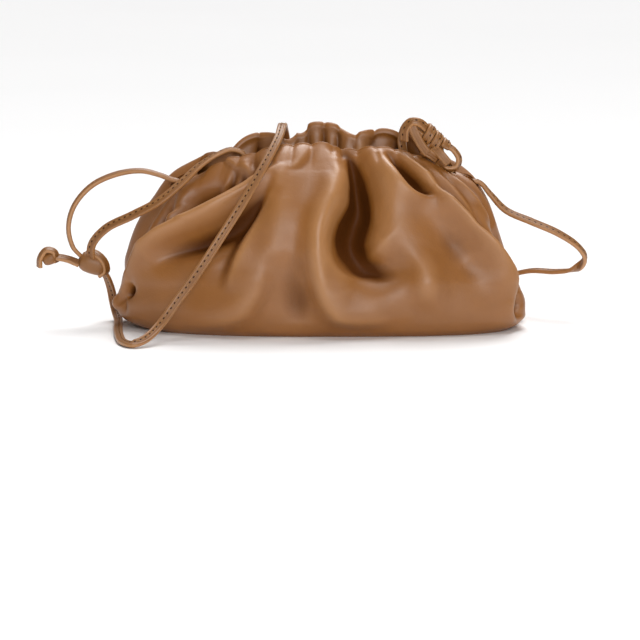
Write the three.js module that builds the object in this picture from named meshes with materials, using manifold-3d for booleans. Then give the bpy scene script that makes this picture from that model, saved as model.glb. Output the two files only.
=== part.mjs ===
// A small gathered leather pouch bag with a thin knotted shoulder strap, standing on its flat base.
// Millimetres, +Z up. The front faces -Y. The origin is the middle of the base, on the table.
import * as THREE from "three";
import { mergeVertices } from "three/addons/utils/BufferGeometryUtils.js";
import Module from "manifold-3d";

const wasm = await Module();
wasm.setup();

// Driving dimensions of the bag.
const BAG_WIDTH = 230;
const BAG_DEPTH = 94;
const BACK_RIM_HEIGHT = 109;
const FRONT_RIM_HEIGHT = 101;
const END_RIM_HEIGHT = 87;
const LEATHER = 2.2;
const CASING_THICKNESS = 3.2;
const CASING_HEIGHT = 8;
const END_THICKNESS = 1.2;
const SEAM_GAP = 0.3;
const SEAM_SETBACK = 2;
const BASE_SEAM_SETBACK = 33;
const BASE_EDGE_HEIGHT = 4;
const SLOT_HEIGHT = 80;
const SLOT_REACH = 11;

// The depth of the deepest fold, and how tightly the leather can crease.
const FOLD_DEPTH = 30;
const CREASE_RADIUS = 1.2;
const STEEPEST_WALL = 1.7;

// The gathers along the two lips of the mouth.
const FRONT_GATHER_DEPTH = 1.1;
const FRONT_GATHERS = 12;
const BACK_GATHER_DEPTH = 2.6;
const BACK_GATHERS = 7;
const PUFF_HEIGHT = 4;
const GATHER_FADE = 22;

// The strap: a folded strip of leather with one row of stitches.
const STRAP_WIDTH = 5;
const STRAP_THICKNESS = 2.4;
const STRAP_CLEARANCE = 0.6;
const KNOT_GAP = 0.3;

// The mesh: columns of points round the bag and rings of points up its wall.
const COLUMNS = 82;
const WALL_RINGS = 18;
const BASE_RINGS = 3;
const STROKE_STEPS = 5;
const STRAP_STEP = 9;
const LOOP_STEP = 7;
const BAND_STEP = 3.5;
const KNOT_SIDES = 10;

const radians = THREE.MathUtils.degToRad;

// One row for each level of the wall, as a share of the rim's height there. left and right are shares of
// half the width, front and back of half the depth, and the square columns say how boxy each side is.
const SECTIONS = [
  { level: 0.0, left: 0.86, right: 0.92, front: 0.86, back: 0.86, squareLeft: 2.5, squareRight: 3.2 },
  { level: 0.035, left: 0.93, right: 0.965, front: 0.94, back: 0.94, squareLeft: 2.5, squareRight: 3.2 },
  { level: 0.09, left: 0.985, right: 1.0, front: 0.985, back: 0.985, squareLeft: 2.5, squareRight: 3.1 },
  { level: 0.16, left: 1.0, right: 1.0, front: 1.0, back: 1.0, squareLeft: 2.5, squareRight: 3.0 },
  { level: 0.3, left: 0.965, right: 0.965, front: 1.0, back: 1.0, squareLeft: 2.4, squareRight: 2.8 },
  { level: 0.4, left: 0.94, right: 0.94, front: 0.96, back: 0.97, squareLeft: 2.4, squareRight: 2.6 },
  { level: 0.56, left: 0.905, right: 0.905, front: 0.86, back: 0.88, squareLeft: 2.3, squareRight: 2.4 },
  { level: 0.75, left: 0.835, right: 0.86, front: 0.66, back: 0.68, squareLeft: 2.2, squareRight: 2.3 },
  { level: 0.875, left: 0.766, right: 0.805, front: 0.47, back: 0.48, squareLeft: 2.4, squareRight: 2.4 },
  { level: 0.96, left: 0.68, right: 0.75, front: 0.29, back: 0.32, squareLeft: 2.3, squareRight: 2.4 },
  { level: 1.0, left: 0.6, right: 0.66, front: 0.2, back: 0.24, squareLeft: 2.6, squareRight: 2.6 },
];

// One row for each fold: the way its crest or its bottom runs, as places [angle, level, depth]. The angle
// is in degrees round the bag from the front's middle towards the right-hand end, and the depth is a share
// of the deepest fold's, positive outwards. toLeft and toRight are how far the fold reaches to a viewer's
// left and right when it is followed downwards, as shares of the bag's width, and crisp is 0 for a soft
// swell and 1 for a sharp crease.
const FOLDS = [
  // The left-hand end: the tuck in front of the seam, its lapped edge, and the long ridge below them.
  { path: [[-64, 0.92, 0], [-67, 0.8, -0.2], [-67, 0.6, -0.36], [-72, 0.45, -0.26], [-84, 0.3, -0.12]],
    toLeft: 0.03, toRight: 0.02, crisp: 0.6 },
  { path: [[-50, 0.88, 0], [-56, 0.76, 0.16], [-57, 0.65, 0.2], [-54, 0.57, 0.08]],
    toLeft: 0.02, toRight: 0.05, crisp: 0.4 },
  { path: [[-24, 0.9, -0.1], [-27, 0.81, -0.36], [-42, 0.69, -0.5], [-55, 0.58, -0.34], [-66, 0.49, -0.06]],
    toLeft: 0.06, toRight: 0.024, crisp: 0.6 },
  { path: [[-21, 0.93, 0.14], [-23, 0.83, 0.24], [-41, 0.655, 0.32], [-57, 0.52, 0.34], [-73, 0.36, 0.16]],
    toLeft: 0.018, toRight: 0.07, crisp: 0.4 },
  { path: [[-17.5, 0.8, -0.12], [-20, 0.6, -0.36], [-30, 0.44, -0.4], [-45, 0.3, -0.14]],
    toLeft: 0.07, toRight: 0.05, crisp: 0 },
  // The pouting foot to the left of the middle.
  { path: [[-16, 0.5, 0.08], [-17.5, 0.33, 0.2], [-19, 0.18, 0.26], [-26, 0.09, 0.26], [-36, 0.07, 0.12]],
    toLeft: 0.05, toRight: 0.026, crisp: 0.1 },
  { path: [[-12, 0.93, 0.12], [-11, 0.7, 0.2], [-12, 0.5, 0.16]], toLeft: 0.04, toRight: 0.05, crisp: 0 },
  { path: [[-5, 0.62, -0.08], [-6.5, 0.42, -0.22], [-5.5, 0.2, -0.2], [-6, 0.08, -0.08]],
    toLeft: 0.04, toRight: 0.028, crisp: 0 },
  // The deep hollow in the middle and the hooked ridge round it.
  { path: [[10.5, 0.98, -0.2], [12, 0.83, -0.46], [12.5, 0.7, -0.66], [9.5, 0.56, -0.78], [8.5, 0.47, -0.78],
    [11.5, 0.41, -0.46], [18, 0.37, -0.16]], toLeft: 0.028, toRight: 0.036, crisp: 0.2 },
  { path: [[4.5, 0.97, 0.1], [7.5, 0.82, 0.26], [4, 0.72, 0.26], [-1, 0.58, 0.26], [-2, 0.3, 0.26],
    [0, 0.17, 0.26], [5, 0.11, 0.26], [16, 0.12, 0.2], [29, 0.15, 0.12]],
    toLeft: 0.028, toRight: 0.03, crisp: 0.2 },
  // The broad swell and the pocket to the right of it.
  { path: [[19, 0.93, 0.12], [21, 0.75, 0.26], [24, 0.58, 0.26], [26, 0.42, 0.12]],
    toLeft: 0.04, toRight: 0.06, crisp: 0 },
  { path: [[28, 0.95, -0.12], [30, 0.87, -0.36], [34.5, 0.81, -0.4], [37.5, 0.785, -0.12]],
    toLeft: 0.022, toRight: 0.018, crisp: 0.3 },
  { path: [[25, 0.93, 0.14], [27, 0.84, 0.22], [31, 0.77, 0.22], [37, 0.735, 0.14]],
    toLeft: 0.03, toRight: 0.018, crisp: 0.3 },
  { path: [[34, 0.64, -0.16], [38, 0.5, -0.3], [43, 0.38, -0.14]], toLeft: 0.05, toRight: 0.05, crisp: 0 },
  { path: [[29, 0.45, 0.08], [29, 0.28, 0.16], [29, 0.14, 0.08]], toLeft: 0.03, toRight: 0.035, crisp: 0 },
  // The ridges that fan down to the right-hand end, and the hollow beside them.
  { path: [[38, 0.83, 0.16], [45, 0.74, 0.3], [52, 0.64, 0.34], [58, 0.5, 0.34], [58, 0.35, 0.26],
    [56, 0.21, 0.12]], toLeft: 0.06, toRight: 0.02, crisp: 0.3 },
  { path: [[44, 0.86, -0.1], [51, 0.71, -0.18], [60, 0.57, -0.2]], toLeft: 0.02, toRight: 0.018, crisp: 0.3 },
  { path: [[60, 0.62, -0.16], [63.5, 0.5, -0.36], [66, 0.38, -0.3], [66, 0.26, -0.14]],
    toLeft: 0.018, toRight: 0.028, crisp: 0.4 },
  // The two boxed corners at the foot.
  { path: [[-66, 0.3, -0.04], [-63.5, 0.25, -0.26], [-68, 0.2, -0.08]], toLeft: 0.018, toRight: 0.018, crisp: 0.2 },
  { path: [[62, 0.26, -0.08], [59, 0.18, -0.26], [62, 0.12, -0.06]], toLeft: 0.022, toRight: 0.026, crisp: 0 },
  // The gussets, which sink in along the side seams.
  { path: [[-90, 1.0, -0.1], [-92, 0.75, -0.2], [-92, 0.4, -0.24], [-90, 0.12, -0.16]],
    toLeft: 0.034, toRight: 0.034, crisp: 0.3 },
  { path: [[90, 1.0, -0.1], [91, 0.75, -0.24], [92, 0.4, -0.3], [90, 0.12, -0.22]],
    toLeft: 0.034, toRight: 0.034, crisp: 0.3 },
  // The back panel, from the right-hand end to the left-hand end.
  { path: [[128, 0.96, 0.1], [122, 0.7, 0.2], [112, 0.4, 0.16]], toLeft: 0.05, toRight: 0.03, crisp: 0.2 },
  { path: [[138, 0.97, -0.2], [134, 0.7, -0.3], [126, 0.42, -0.1]], toLeft: 0.024, toRight: 0.04, crisp: 0.3 },
  { path: [[152, 0.95, 0.1], [154, 0.6, 0.2], [146, 0.25, 0.14]], toLeft: 0.05, toRight: 0.06, crisp: 0 },
  { path: [[166, 0.97, -0.2], [168, 0.72, -0.4], [164, 0.42, -0.1]], toLeft: 0.03, toRight: 0.03, crisp: 0.2 },
  { path: [[180, 0.9, 0.08], [182, 0.6, 0.2], [184, 0.3, 0.14]], toLeft: 0.06, toRight: 0.05, crisp: 0 },
  { path: [[195, 0.97, -0.2], [193, 0.66, -0.36], [199, 0.36, -0.1]], toLeft: 0.035, toRight: 0.03, crisp: 0.2 },
  { path: [[208, 0.92, 0.08], [209, 0.6, 0.2], [216, 0.28, 0.14]], toLeft: 0.05, toRight: 0.05, crisp: 0 },
  { path: [[222, 0.97, -0.2], [228, 0.7, -0.3], [236, 0.45, -0.1]], toLeft: 0.04, toRight: 0.024, crisp: 0.3 },
  { path: [[234, 0.96, 0.1], [242, 0.68, 0.2], [252, 0.4, 0.16]], toLeft: 0.03, toRight: 0.05, crisp: 0.2 },
];

// The routes of the strap's free stretches. at is a point on its middle line, and face the way that its
// flat stitched side looks there. The shoulder strap runs from the left knot to the right one, and passes
// through the right-hand slot and up out of the mouth. The left loop passes through the left-hand slot.
const SHOULDER_ROUTE = [
  { at: [-121, 0, 31], face: [-0.6, -0.7, 0.4] },
  { at: [-118.5, 5.5, 24.5], face: [-0.5, -0.8, 0] },
  { at: [-117, 11, 17.5], face: [-0.3, -0.9, -0.3] },
  { at: [-116, 14, 10.5], face: [0, -1, 0] },
  { at: [-114.4, 11.5, 4.8], face: [0, -0.7, 0.7] },
  { at: [-112.8, 4, 2.2], face: [0, -0.1, 1] },
  { at: [-112, -8, 1.8], face: [0, 0, 1] },
  { at: [-111, -26, 1.8], face: [0, 0, 1] },
  { at: [-109.2, -46, 1.8], face: [0, 0, 1] },
  { at: [-105.6, -66, 1.8], face: [0, -0.2, 1] },
  { at: [-100, -74.5, 2.4], face: [0.1, -0.5, 0.9] },
  { at: [-93.5, -70.5, 4.4], face: [0.1, -0.8, 0.6] },
  { at: [-86, -60.5, 10.5], face: [0.1, -0.9, 0.5] },
  { at: [-76.5, -54, 23], face: [0, -1, 0.2] },
  { at: [-65, -50, 38.5], face: [0, -1, 0.1] },
  { at: [-53, -45, 56.5], face: [0, -1, 0.3] },
  { at: [-41.5, -38, 74], face: [-0.1, -1, 0.5] },
  { at: [-32, -28.2, 89.8], face: [-0.1, -0.8, 0.7] },
  { at: [-25.5, -17, 100.6], face: [0, -0.6, 0.8] },
  { at: [-22.3, -8, 106.6], face: [0, -0.6, 0.8] },
  { at: [-21.2, 0, 110], face: [0, -0.3, 1] },
  { at: [-20.6, 8, 110.6], face: [0, 0.2, 1] },
  { at: [-20, 16, 106.8], face: [0, 0.7, 0.7] },
  { at: [-18.5, 23, 97.2], face: [0, 0.95, 0.3] },
  { at: [-16, 34.2, 80.4], face: [0, 0.9, 0.5] },
  { at: [-13, 46.6, 62.8], face: [0, 0.95, 0.3] },
  { at: [-9, 53.6, 43], face: [0, 1, 0.1] },
  { at: [-4, 56, 22.5], face: [0, 1, 0.1] },
  { at: [3, 59, 7.5], face: [0, 0.8, 0.6] },
  { at: [14, 64, 2.9], face: [0, 0.1, 1] },
  { at: [27, 66.4, 1.9], face: [0, 0, 1] },
  { at: [40, 67, 1.8], face: [0, 0, 1] },
  { at: [65, 63, 2.2], face: [0, 0, 1] },
  { at: [88, 54, 8], face: [-0.2, 0, 1] },
  { at: [104, 42, 19], face: [-0.3, 0, 1] },
  { at: [119, 31, 25], face: [0, -0.1, 1] },
  { at: [133, 22, 26], face: [0.2, -0.3, 1] },
  { at: [143, 13, 29], face: [0.6, -0.5, 0.7] },
  { at: [147.6, 4, 36.5], face: [0.9, -0.4, 0.3] },
  { at: [143, -1, 44], face: [0.6, -0.4, 0.8] },
  { at: [132, -2.5, 51.5], face: [0.4, -0.5, 0.8] },
  { at: [117, -2, 58], face: [0.3, -0.5, 0.8] },
  { at: [103, 0, 64], face: [0.3, -0.4, 0.9] },
  { at: [94.5, 2, 72.6], face: [0.5, -0.2, 0.8] },
  { at: [88.3, 2, 79.3], face: [0.5, 0, 0.9] },
  { at: [80.5, 2, 80.1], face: [0, 0, 1] },
  { at: [69, 2, 80], face: [0, 0, 1] },
  { at: [60, 1.8, 80.6], face: [0.1, 0, 1] },
  { at: [52.5, 0.8, 84.2], face: [0.6, 0, 0.8] },
  { at: [47.8, -0.8, 90.5], face: [0.9, -0.3, 0.3] },
  { at: [45.8, -2.6, 97.5], face: [0.4, -0.9, 0] },
  { at: [45.2, -4.4, 104.5], face: [-0.4, -0.9, 0.1] },
  { at: [46.9, -5.8, 111], face: [-0.5, -0.7, 0.5] },
  { at: [51, -6.8, 114.6], face: [0, -0.4, 1] },
  { at: [55.2, -7.4, 111.4], face: [0.3, -0.9, 0.3] },
  { at: [57.6, -7.8, 105.5], face: [0.1, -1, 0] },
  { at: [59.6, -7, 99.5], face: [0.1, -1, 0] },
];
const LEFT_LOOP_ROUTE = [
  { at: [-127, -5.4, 38], face: [-0.4, -0.9, 0.3] },
  { at: [-126, -8, 46], face: [-0.4, -0.9, 0.3] },
  { at: [-118, -12, 55.5], face: [-0.3, -0.9, 0.5] },
  { at: [-103, -16.5, 63.5], face: [-0.2, -0.9, 0.5] },
  { at: [-88, -17, 71.5], face: [-0.2, -0.8, 0.6] },
  { at: [-76, -12, 81], face: [-0.2, -0.6, 0.8] },
  { at: [-67, -6, 89], face: [-0.3, -0.3, 0.9] },
  { at: [-58, -2.2, 94.6], face: [-0.3, 0, 1] },
  { at: [-49, 0.4, 97.8], face: [0, 0, 1] },
  { at: [-42.5, 1, 95.5], face: [0.7, 0, 0.7] },
  { at: [-40.5, 1.2, 90], face: [1, 0, 0] },
  { at: [-43.5, 1.5, 84], face: [0.7, 0, -0.7] },
  { at: [-51, 1.8, 80.6], face: [0.2, 0, -1] },
  { at: [-62, 2, 79.8], face: [0, 0, -1] },
  { at: [-73, 2, 79.7], face: [0, 0, -1] },
  { at: [-81, 2, 80.6], face: [0.1, 0, -1] },
  { at: [-89, 2.8, 83.4], face: [0, 0, -1] },
  { at: [-99, 4, 85.5], face: [0, 0.1, -1] },
  { at: [-113, 5, 83.5], face: [0.2, 0.2, -1] },
  { at: [-127, 4, 77], face: [0.6, 0.2, -0.8] },
  { at: [-136.5, 1, 66], face: [0.9, 0.2, -0.4] },
  { at: [-139.5, -1, 54], face: [1, 0.2, 0] },
  { at: [-137, -2, 43.5], face: [0.9, 0.2, 0.3] },
  { at: [-132.8, -1, 38.4], face: [0.8, 0.2, 0.5] },
];
const TAIL_ROUTE = [
  { at: [-133.6, -3.4, 34.6], face: [-0.1, -0.6, 0.8] },
  { at: [-140, -4, 37.2], face: [0, -0.5, 0.9] },
  { at: [-146, -5, 38.4], face: [0, -0.5, 0.9] },
  { at: [-150.5, -5.5, 38], face: [0, -0.5, 0.9] },
];

// The bands of strap that show on the outside of the knots, as routes.
const LEFT_KNOT_BAND = [
  { at: [-129.5, -1, 40.5], face: [-0.5, -0.3, 0.9] },
  { at: [-124.5, -4.5, 40.5], face: [0.3, -0.5, 0.8] },
  { at: [-119.6, -5.5, 36], face: [0.8, -0.6, 0.4] },
  { at: [-118.6, -4, 30.5], face: [0.8, -0.5, -0.3] },
  { at: [-122, -1.5, 27.6], face: [0.4, 0, -0.9] },
];
const STOPPER_BAND = [
  { at: [-146.5, -5.4, 35.6], face: [0.6, -0.3, -0.5] },
  { at: [-147, -6, 41.4], face: [0.3, -0.3, 0.9] },
  { at: [-151.5, -6.4, 42.6], face: [-0.4, -0.3, 0.9] },
  { at: [-155, -6.6, 38], face: [-0.9, -0.4, 0.3] },
  { at: [-155.4, -6.2, 33], face: [-0.9, -0.4, 0] },
];
const RIGHT_KNOT_BAND = [
  { at: [68.5, -6, 102], face: [0.6, -0.4, 0.7] },
  { at: [74.2, -7, 98.6], face: [0.8, -0.2, 0.6] },
  { at: [76, -8, 94.6], face: [0.9, -0.4, -0.2] },
  { at: [71.6, -8.6, 92.8], face: [0, -0.5, -0.9] },
  { at: [64.5, -7.5, 95.2], face: [-0.2, -0.9, -0.5] },
];

// The knots' solid middles: where each one is, the way its long axis points, and its turns of strap. The
// girth column holds the outer radius and the spread one the whole length, in widths of the strap.
const KNOTS = {
  left: { at: [-126, -2, 34.5], axis: [0.94, 0, -0.3], girth: 1.2, spread: 3.4, turns: 1 },
  stopper: { at: [-150, -5.6, 37.6], axis: [0.95, 0, 0.3], girth: 0.68, spread: 1.6, turns: 1 },
  rightWraps: { at: [64.4, -6, 106.2], axis: [0.72, 0, -0.69], girth: 0.96, spread: 3, turns: 3 },
  rightHeart: { at: [61, -5.5, 99.9], axis: [0.92, 0, -0.38], girth: 0.8, spread: 3.2, turns: 1 },
};

// One of the smooth measures of the sections at a level, eased between the rows without overshoot.
function sectionValue(column, level) {
  const last = SECTIONS.length - 1;
  const at = THREE.MathUtils.clamp(level, 0, 1);
  const found = SECTIONS.findIndex((row) => row.level > at);
  const upper = found < 0 ? last : found;
  const slope = (k) =>
    (SECTIONS[k + 1][column] - SECTIONS[k][column]) / (SECTIONS[k + 1].level - SECTIONS[k].level);
  const tangent = (k) => {
    if (k === 0 || k === last) return slope(Math.min(k, last - 1));
    const [before, after] = [slope(k - 1), slope(k)];
    return before * after <= 0 ? 0 : (2 * before * after) / (before + after);
  };
  const [from, to] = [SECTIONS[upper - 1], SECTIONS[upper]];
  const step = to.level - from.level;
  const t = (at - from.level) / step;
  return (
    (2 * t ** 3 - 3 * t ** 2 + 1) * from[column] +
    (t ** 3 - 2 * t ** 2 + t) * step * tangent(upper - 1) +
    (3 * t ** 2 - 2 * t ** 3) * to[column] +
    (t ** 3 - t ** 2) * step * tangent(upper)
  );
}

// The height of the mouth's rim at an angle: lowest at the two ends, and higher behind than in front.
function rimHeight(angle) {
  const middle = Math.cos(angle) > 0 ? FRONT_RIM_HEIGHT : BACK_RIM_HEIGHT;
  return END_RIM_HEIGHT + (middle - END_RIM_HEIGHT) * Math.cos(angle) ** 2;
}

// The smooth bag before it is folded and gathered.
function smoothBag(angle, level) {
  const [s, c] = [Math.sin(angle), Math.cos(angle)];
  const square = sectionValue(s < 0 ? "squareLeft" : "squareRight", level);
  const reach = (Math.abs(s) ** square + Math.abs(c) ** square) ** (-1 / square);
  return new THREE.Vector3(
    (sectionValue(s < 0 ? "left" : "right", level) * BAG_WIDTH * reach * s) / 2,
    (-sectionValue(c > 0 ? "front" : "back", level) * BAG_DEPTH * reach * c) / 2,
    level * rimHeight(angle),
  );
}

// Which way is outwards on the smooth bag.
function outwards(angle, level) {
  const nudge = 0.01;
  const low = Math.max(level - nudge, 0);
  const high = Math.min(level + nudge, 1);
  const round = smoothBag(angle + nudge, level).sub(smoothBag(angle - nudge, level));
  const up = smoothBag(angle, high).sub(smoothBag(angle, low));
  return round.cross(up).normalize();
}

// A fold's middle line as points on the smooth bag, each with its depth and the way outwards there.
const strokes = FOLDS.map((fold) => {
  const line = new THREE.SplineCurve(fold.path.map(([angle, level]) => new THREE.Vector2(angle, level)));
  const points = line.getPoints(STROKE_STEPS * (fold.path.length - 1)).map(({ x, y }, k) => {
    const row = Math.min(Math.floor(k / STROKE_STEPS), fold.path.length - 2);
    const share = k / STROKE_STEPS - row;
    const depth = THREE.MathUtils.lerp(fold.path[row][2], fold.path[row + 1][2], share) * FOLD_DEPTH;
    return { place: smoothBag(radians(x), y), out: outwards(radians(x), y), depth };
  });
  return { fold, points };
});

// How far one fold moves a point of the smooth bag, in millimetres.
function foldOffset({ fold, points }, place) {
  let best = { distance: Infinity };
  for (let k = 0; k < points.length - 1; k++) {
    const run = points[k + 1].place.clone().sub(points[k].place);
    const away = place.clone().sub(points[k].place);
    const t = THREE.MathUtils.clamp(away.dot(run) / run.lengthSq(), 0, 1);
    away.addScaledVector(run, -t);
    if (away.length() < best.distance) {
      const left = run.clone().cross(points[k].out).normalize();
      const depth = THREE.MathUtils.lerp(points[k].depth, points[k + 1].depth, t);
      best = { distance: away.length(), side: away.dot(left), depth };
    }
  }
  const across = best.side / Math.max(best.distance, 1e-6);
  const reach = THREE.MathUtils.lerp(fold.toRight, fold.toLeft, (across + 1) / 2) * BAG_WIDTH;
  const rounded = Math.hypot(best.distance, CREASE_RADIUS) - CREASE_RADIUS;
  return best.depth * Math.exp(-((rounded / reach) ** (2 - 0.9 * fold.crisp)));
}

// The gathers of the mouth: shallow pleats along the front lip, deep puffs along the back one.
function gather(angle, level) {
  const behind = Math.cos(angle) < 0;
  const waves = behind ? BACK_GATHERS : FRONT_GATHERS;
  const pleat = Math.cos(2 * waves * angle);
  const below = (1 - level) * rimHeight(angle);
  const strength = Math.abs(Math.cos(angle)) ** 0.5 * Math.exp(-((below / GATHER_FADE) ** 2));
  return {
    out: -(behind ? BACK_GATHER_DEPTH : FRONT_GATHER_DEPTH) * pleat * strength,
    up: behind ? (PUFF_HEIGHT * (pleat - 1) * strength) / 2 : 0,
  };
}

// How far the folds and gathers move a point of the smooth bag outwards.
function folding(angle, level) {
  const foot = THREE.MathUtils.smoothstep(level, 0, 0.12);
  const place = smoothBag(angle, level);
  return strokes.reduce((sum, stroke) => sum + foldOffset(stroke, place) * foot, gather(angle, level).out);
}

// The folded bag: the smooth one moved in and out by its folds and gathers. inset is a depth under the
// outer face, and grows on a fold's steep side, so that the leather there keeps its thickness.
function foldedBag(angle, level, inset) {
  const place = smoothBag(angle, level);
  const out = outwards(angle, level);
  const offset = folding(angle, level);
  let deeper = 0;
  if (inset > 0) {
    const nudge = 0.008;
    const lower = Math.max(level - nudge, 0);
    const run = smoothBag(angle + nudge, level).distanceTo(place);
    const rise = smoothBag(angle, lower).distanceTo(place);
    const slopes = [(folding(angle + nudge, level) - offset) / run];
    if (rise > 0) slopes.push((folding(angle, lower) - offset) / rise);
    deeper = inset * Math.min(Math.hypot(1, ...slopes), STEEPEST_WALL);
  }
  place.addScaledVector(out, offset - deeper);
  place.z += gather(angle, level).up;
  return place;
}

// Columns stand closer together along the front and back than round the two narrow ends.
function columnAngle(column) {
  const even = (2 * Math.PI * column) / COLUMNS;
  return even - 0.25 * Math.sin(2 * even);
}

// The wall is one layer of leather, thicker in the casing along each lip and pared thin round the narrow
// ends of the mouth.
function wallThickness(angle, level) {
  const below = (1 - level) * END_RIM_HEIGHT;
  const casing = 1 - THREE.MathUtils.smoothstep(below, CASING_HEIGHT, 2 * CASING_HEIGHT);
  const end = Math.sin(angle) ** 2;
  return THREE.MathUtils.lerp(LEATHER, THREE.MathUtils.lerp(CASING_THICKNESS, END_THICKNESS, end), casing);
}

// Rings of points from the middle of the base, up the outside, over the rim and down the inside.
function pouchRings() {
  const rings = [];
  const level = (k) => 1 - (1 - k / WALL_RINGS) ** 1.25;
  const ring = (make) => Array.from({ length: COLUMNS }, (_, column) => make(columnAngle(column)));
  const baseRing = (share, lift) =>
    ring((angle) => {
      const edge = smoothBag(angle, 0);
      return new THREE.Vector3(edge.x * share, edge.y * share, lift);
    });
  for (let k = 1; k < BASE_RINGS; k++) rings.push(baseRing(k / BASE_RINGS, 0));
  for (let k = 0; k <= WALL_RINGS; k++) rings.push(ring((angle) => foldedBag(angle, level(k), 0)));
  rings.push(
    ring((angle) => {
      const crown = foldedBag(angle, 1, wallThickness(angle, 1) / 2);
      crown.z += wallThickness(angle, 1) / 4;
      return crown;
    }),
  );
  for (let k = WALL_RINGS; k > 0; k--)
    rings.push(
      ring((angle) => {
        const inside = foldedBag(angle, level(k), wallThickness(angle, level(k)));
        inside.z = Math.max(inside.z, LEATHER);
        return inside;
      }),
    );
  const inset = 1 - (2 * LEATHER) / BAG_DEPTH;
  for (let k = BASE_RINGS; k > 0; k--) rings.push(baseRing((inset * k) / BASE_RINGS, LEATHER));
  return rings;
}

// A closed skin through rings of equal length, with a pole at each end. Past the rim the squares are split
// the other way, so that each inner triangle lies under the outer one.
function skin(rings, firstPole, lastPole, rimRing) {
  const columns = rings[0].length;
  const vertices = [firstPole, ...rings.flat(), lastPole].flatMap((p) => [p.x, p.y, p.z]);
  const at = (ring, column) => 1 + ring * columns + (column % columns);
  const last = rings.length * columns + 1;
  const faces = [];
  for (let column = 0; column < columns; column++) {
    faces.push(0, at(0, column + 1), at(0, column));
    faces.push(last, at(rings.length - 1, column), at(rings.length - 1, column + 1));
    for (let ring = 0; ring < rings.length - 1; ring++) {
      const [a, b] = [at(ring, column), at(ring, column + 1)];
      const [c, d] = [at(ring + 1, column + 1), at(ring + 1, column)];
      faces.push(...(ring < rimRing ? [a, b, c, a, c, d] : [a, b, d, b, c, d]));
    }
  }
  return new wasm.Manifold(
    new wasm.Mesh({
      numProp: 3,
      vertProperties: new Float32Array(vertices),
      triVerts: new Uint32Array(faces),
    }),
  );
}

function solidOf(geometry) {
  const bare = geometry.clone();
  bare.deleteAttribute("normal");
  bare.deleteAttribute("uv");
  const merged = mergeVertices(bare, 1e-4);
  return new wasm.Manifold(
    new wasm.Mesh({
      numProp: 3,
      vertProperties: new Float32Array(merged.attributes.position.array),
      triVerts: new Uint32Array(merged.index.array),
    }),
  );
}

function geometryOf(solid) {
  const mesh = solid.getMesh();
  const points = new Float32Array(mesh.numVert * 3);
  for (let k = 0; k < mesh.numVert; k++)
    points.set(mesh.vertProperties.subarray(k * mesh.numProp, k * mesh.numProp + 3), k * 3);
  const geometry = new THREE.BufferGeometry();
  geometry.setAttribute("position", new THREE.BufferAttribute(points, 3));
  geometry.setIndex(new THREE.BufferAttribute(new Uint32Array(mesh.triVerts), 1));
  geometry.computeVertexNormals();
  return geometry;
}

function block(low, high) {
  const size = new THREE.Vector3().subVectors(high, low);
  const middle = new THREE.Vector3().addVectors(high, low).multiplyScalar(0.5);
  return solidOf(new THREE.BoxGeometry(size.x, size.y, size.z).translate(middle.x, middle.y, middle.z));
}

// The slot in the seam at each end of the mouth, through which the strap is looped.
function slotCutter(side) {
  const [wide, high] = [STRAP_WIDTH / 2 + STRAP_CLEARANCE, STRAP_THICKNESS / 2 + STRAP_CLEARANCE];
  const wall = foldedBag((side * Math.PI) / 2, SLOT_HEIGHT / END_RIM_HEIGHT, 0).x;
  return block(
    new THREE.Vector3(wall - SLOT_REACH, SEAM_SETBACK - wide, SLOT_HEIGHT - high),
    new THREE.Vector3(wall + SLOT_REACH, SEAM_SETBACK + wide, SLOT_HEIGHT + high),
  );
}

// Everything in front of the side seams, with the base and its turned-up edge as far as the seam behind.
function frontSide(gap) {
  const far = BAG_WIDTH;
  const front = block(new THREE.Vector3(-far, -far, -far), new THREE.Vector3(far, SEAM_SETBACK - gap, far));
  const base = block(
    new THREE.Vector3(-far, -far, -far),
    new THREE.Vector3(far, BASE_SEAM_SETBACK - gap, BASE_EDGE_HEIGHT - gap),
  );
  return front.add(base);
}

// The strap's middle line, with the way that its flat side faces at each place.
class StrapCurve extends THREE.CatmullRomCurve3 {
  constructor(route) {
    super(route.map((row) => new THREE.Vector3(...row.at)), false, "centripetal");
    this.facing = route.map((row) => new THREE.Vector3(...row.face).normalize());
  }

  computeFrenetFrames(segments) {
    const frames = { tangents: [], normals: [], binormals: [] };
    for (let k = 0; k <= segments; k++) {
      const tangent = this.getTangentAt(k / segments);
      const place = this.getUtoTmapping(k / segments) * (this.facing.length - 1);
      const row = Math.min(Math.floor(place), this.facing.length - 2);
      const face = this.facing[row].clone().lerp(this.facing[row + 1], place - row);
      const across = new THREE.Vector3().crossVectors(face, tangent).normalize();
      frames.tangents.push(tangent);
      frames.normals.push(across);
      frames.binormals.push(new THREE.Vector3().crossVectors(tangent, across).normalize());
    }
    return frames;
  }
}

// The strap's section: a flat strip with bevelled edges.
function strapSection(width, thickness) {
  const [w, t] = [width / 2, thickness / 2];
  const bevel = t / 2;
  const shape = new THREE.Shape();
  shape.moveTo(-w, -t + bevel);
  shape.lineTo(-w + bevel, -t);
  shape.lineTo(w - bevel, -t);
  shape.lineTo(w, -t + bevel);
  shape.lineTo(w, t - bevel);
  shape.lineTo(w - bevel, t);
  shape.lineTo(-w + bevel, t);
  shape.lineTo(-w, t - bevel);
  shape.closePath();
  return shape;
}

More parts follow.
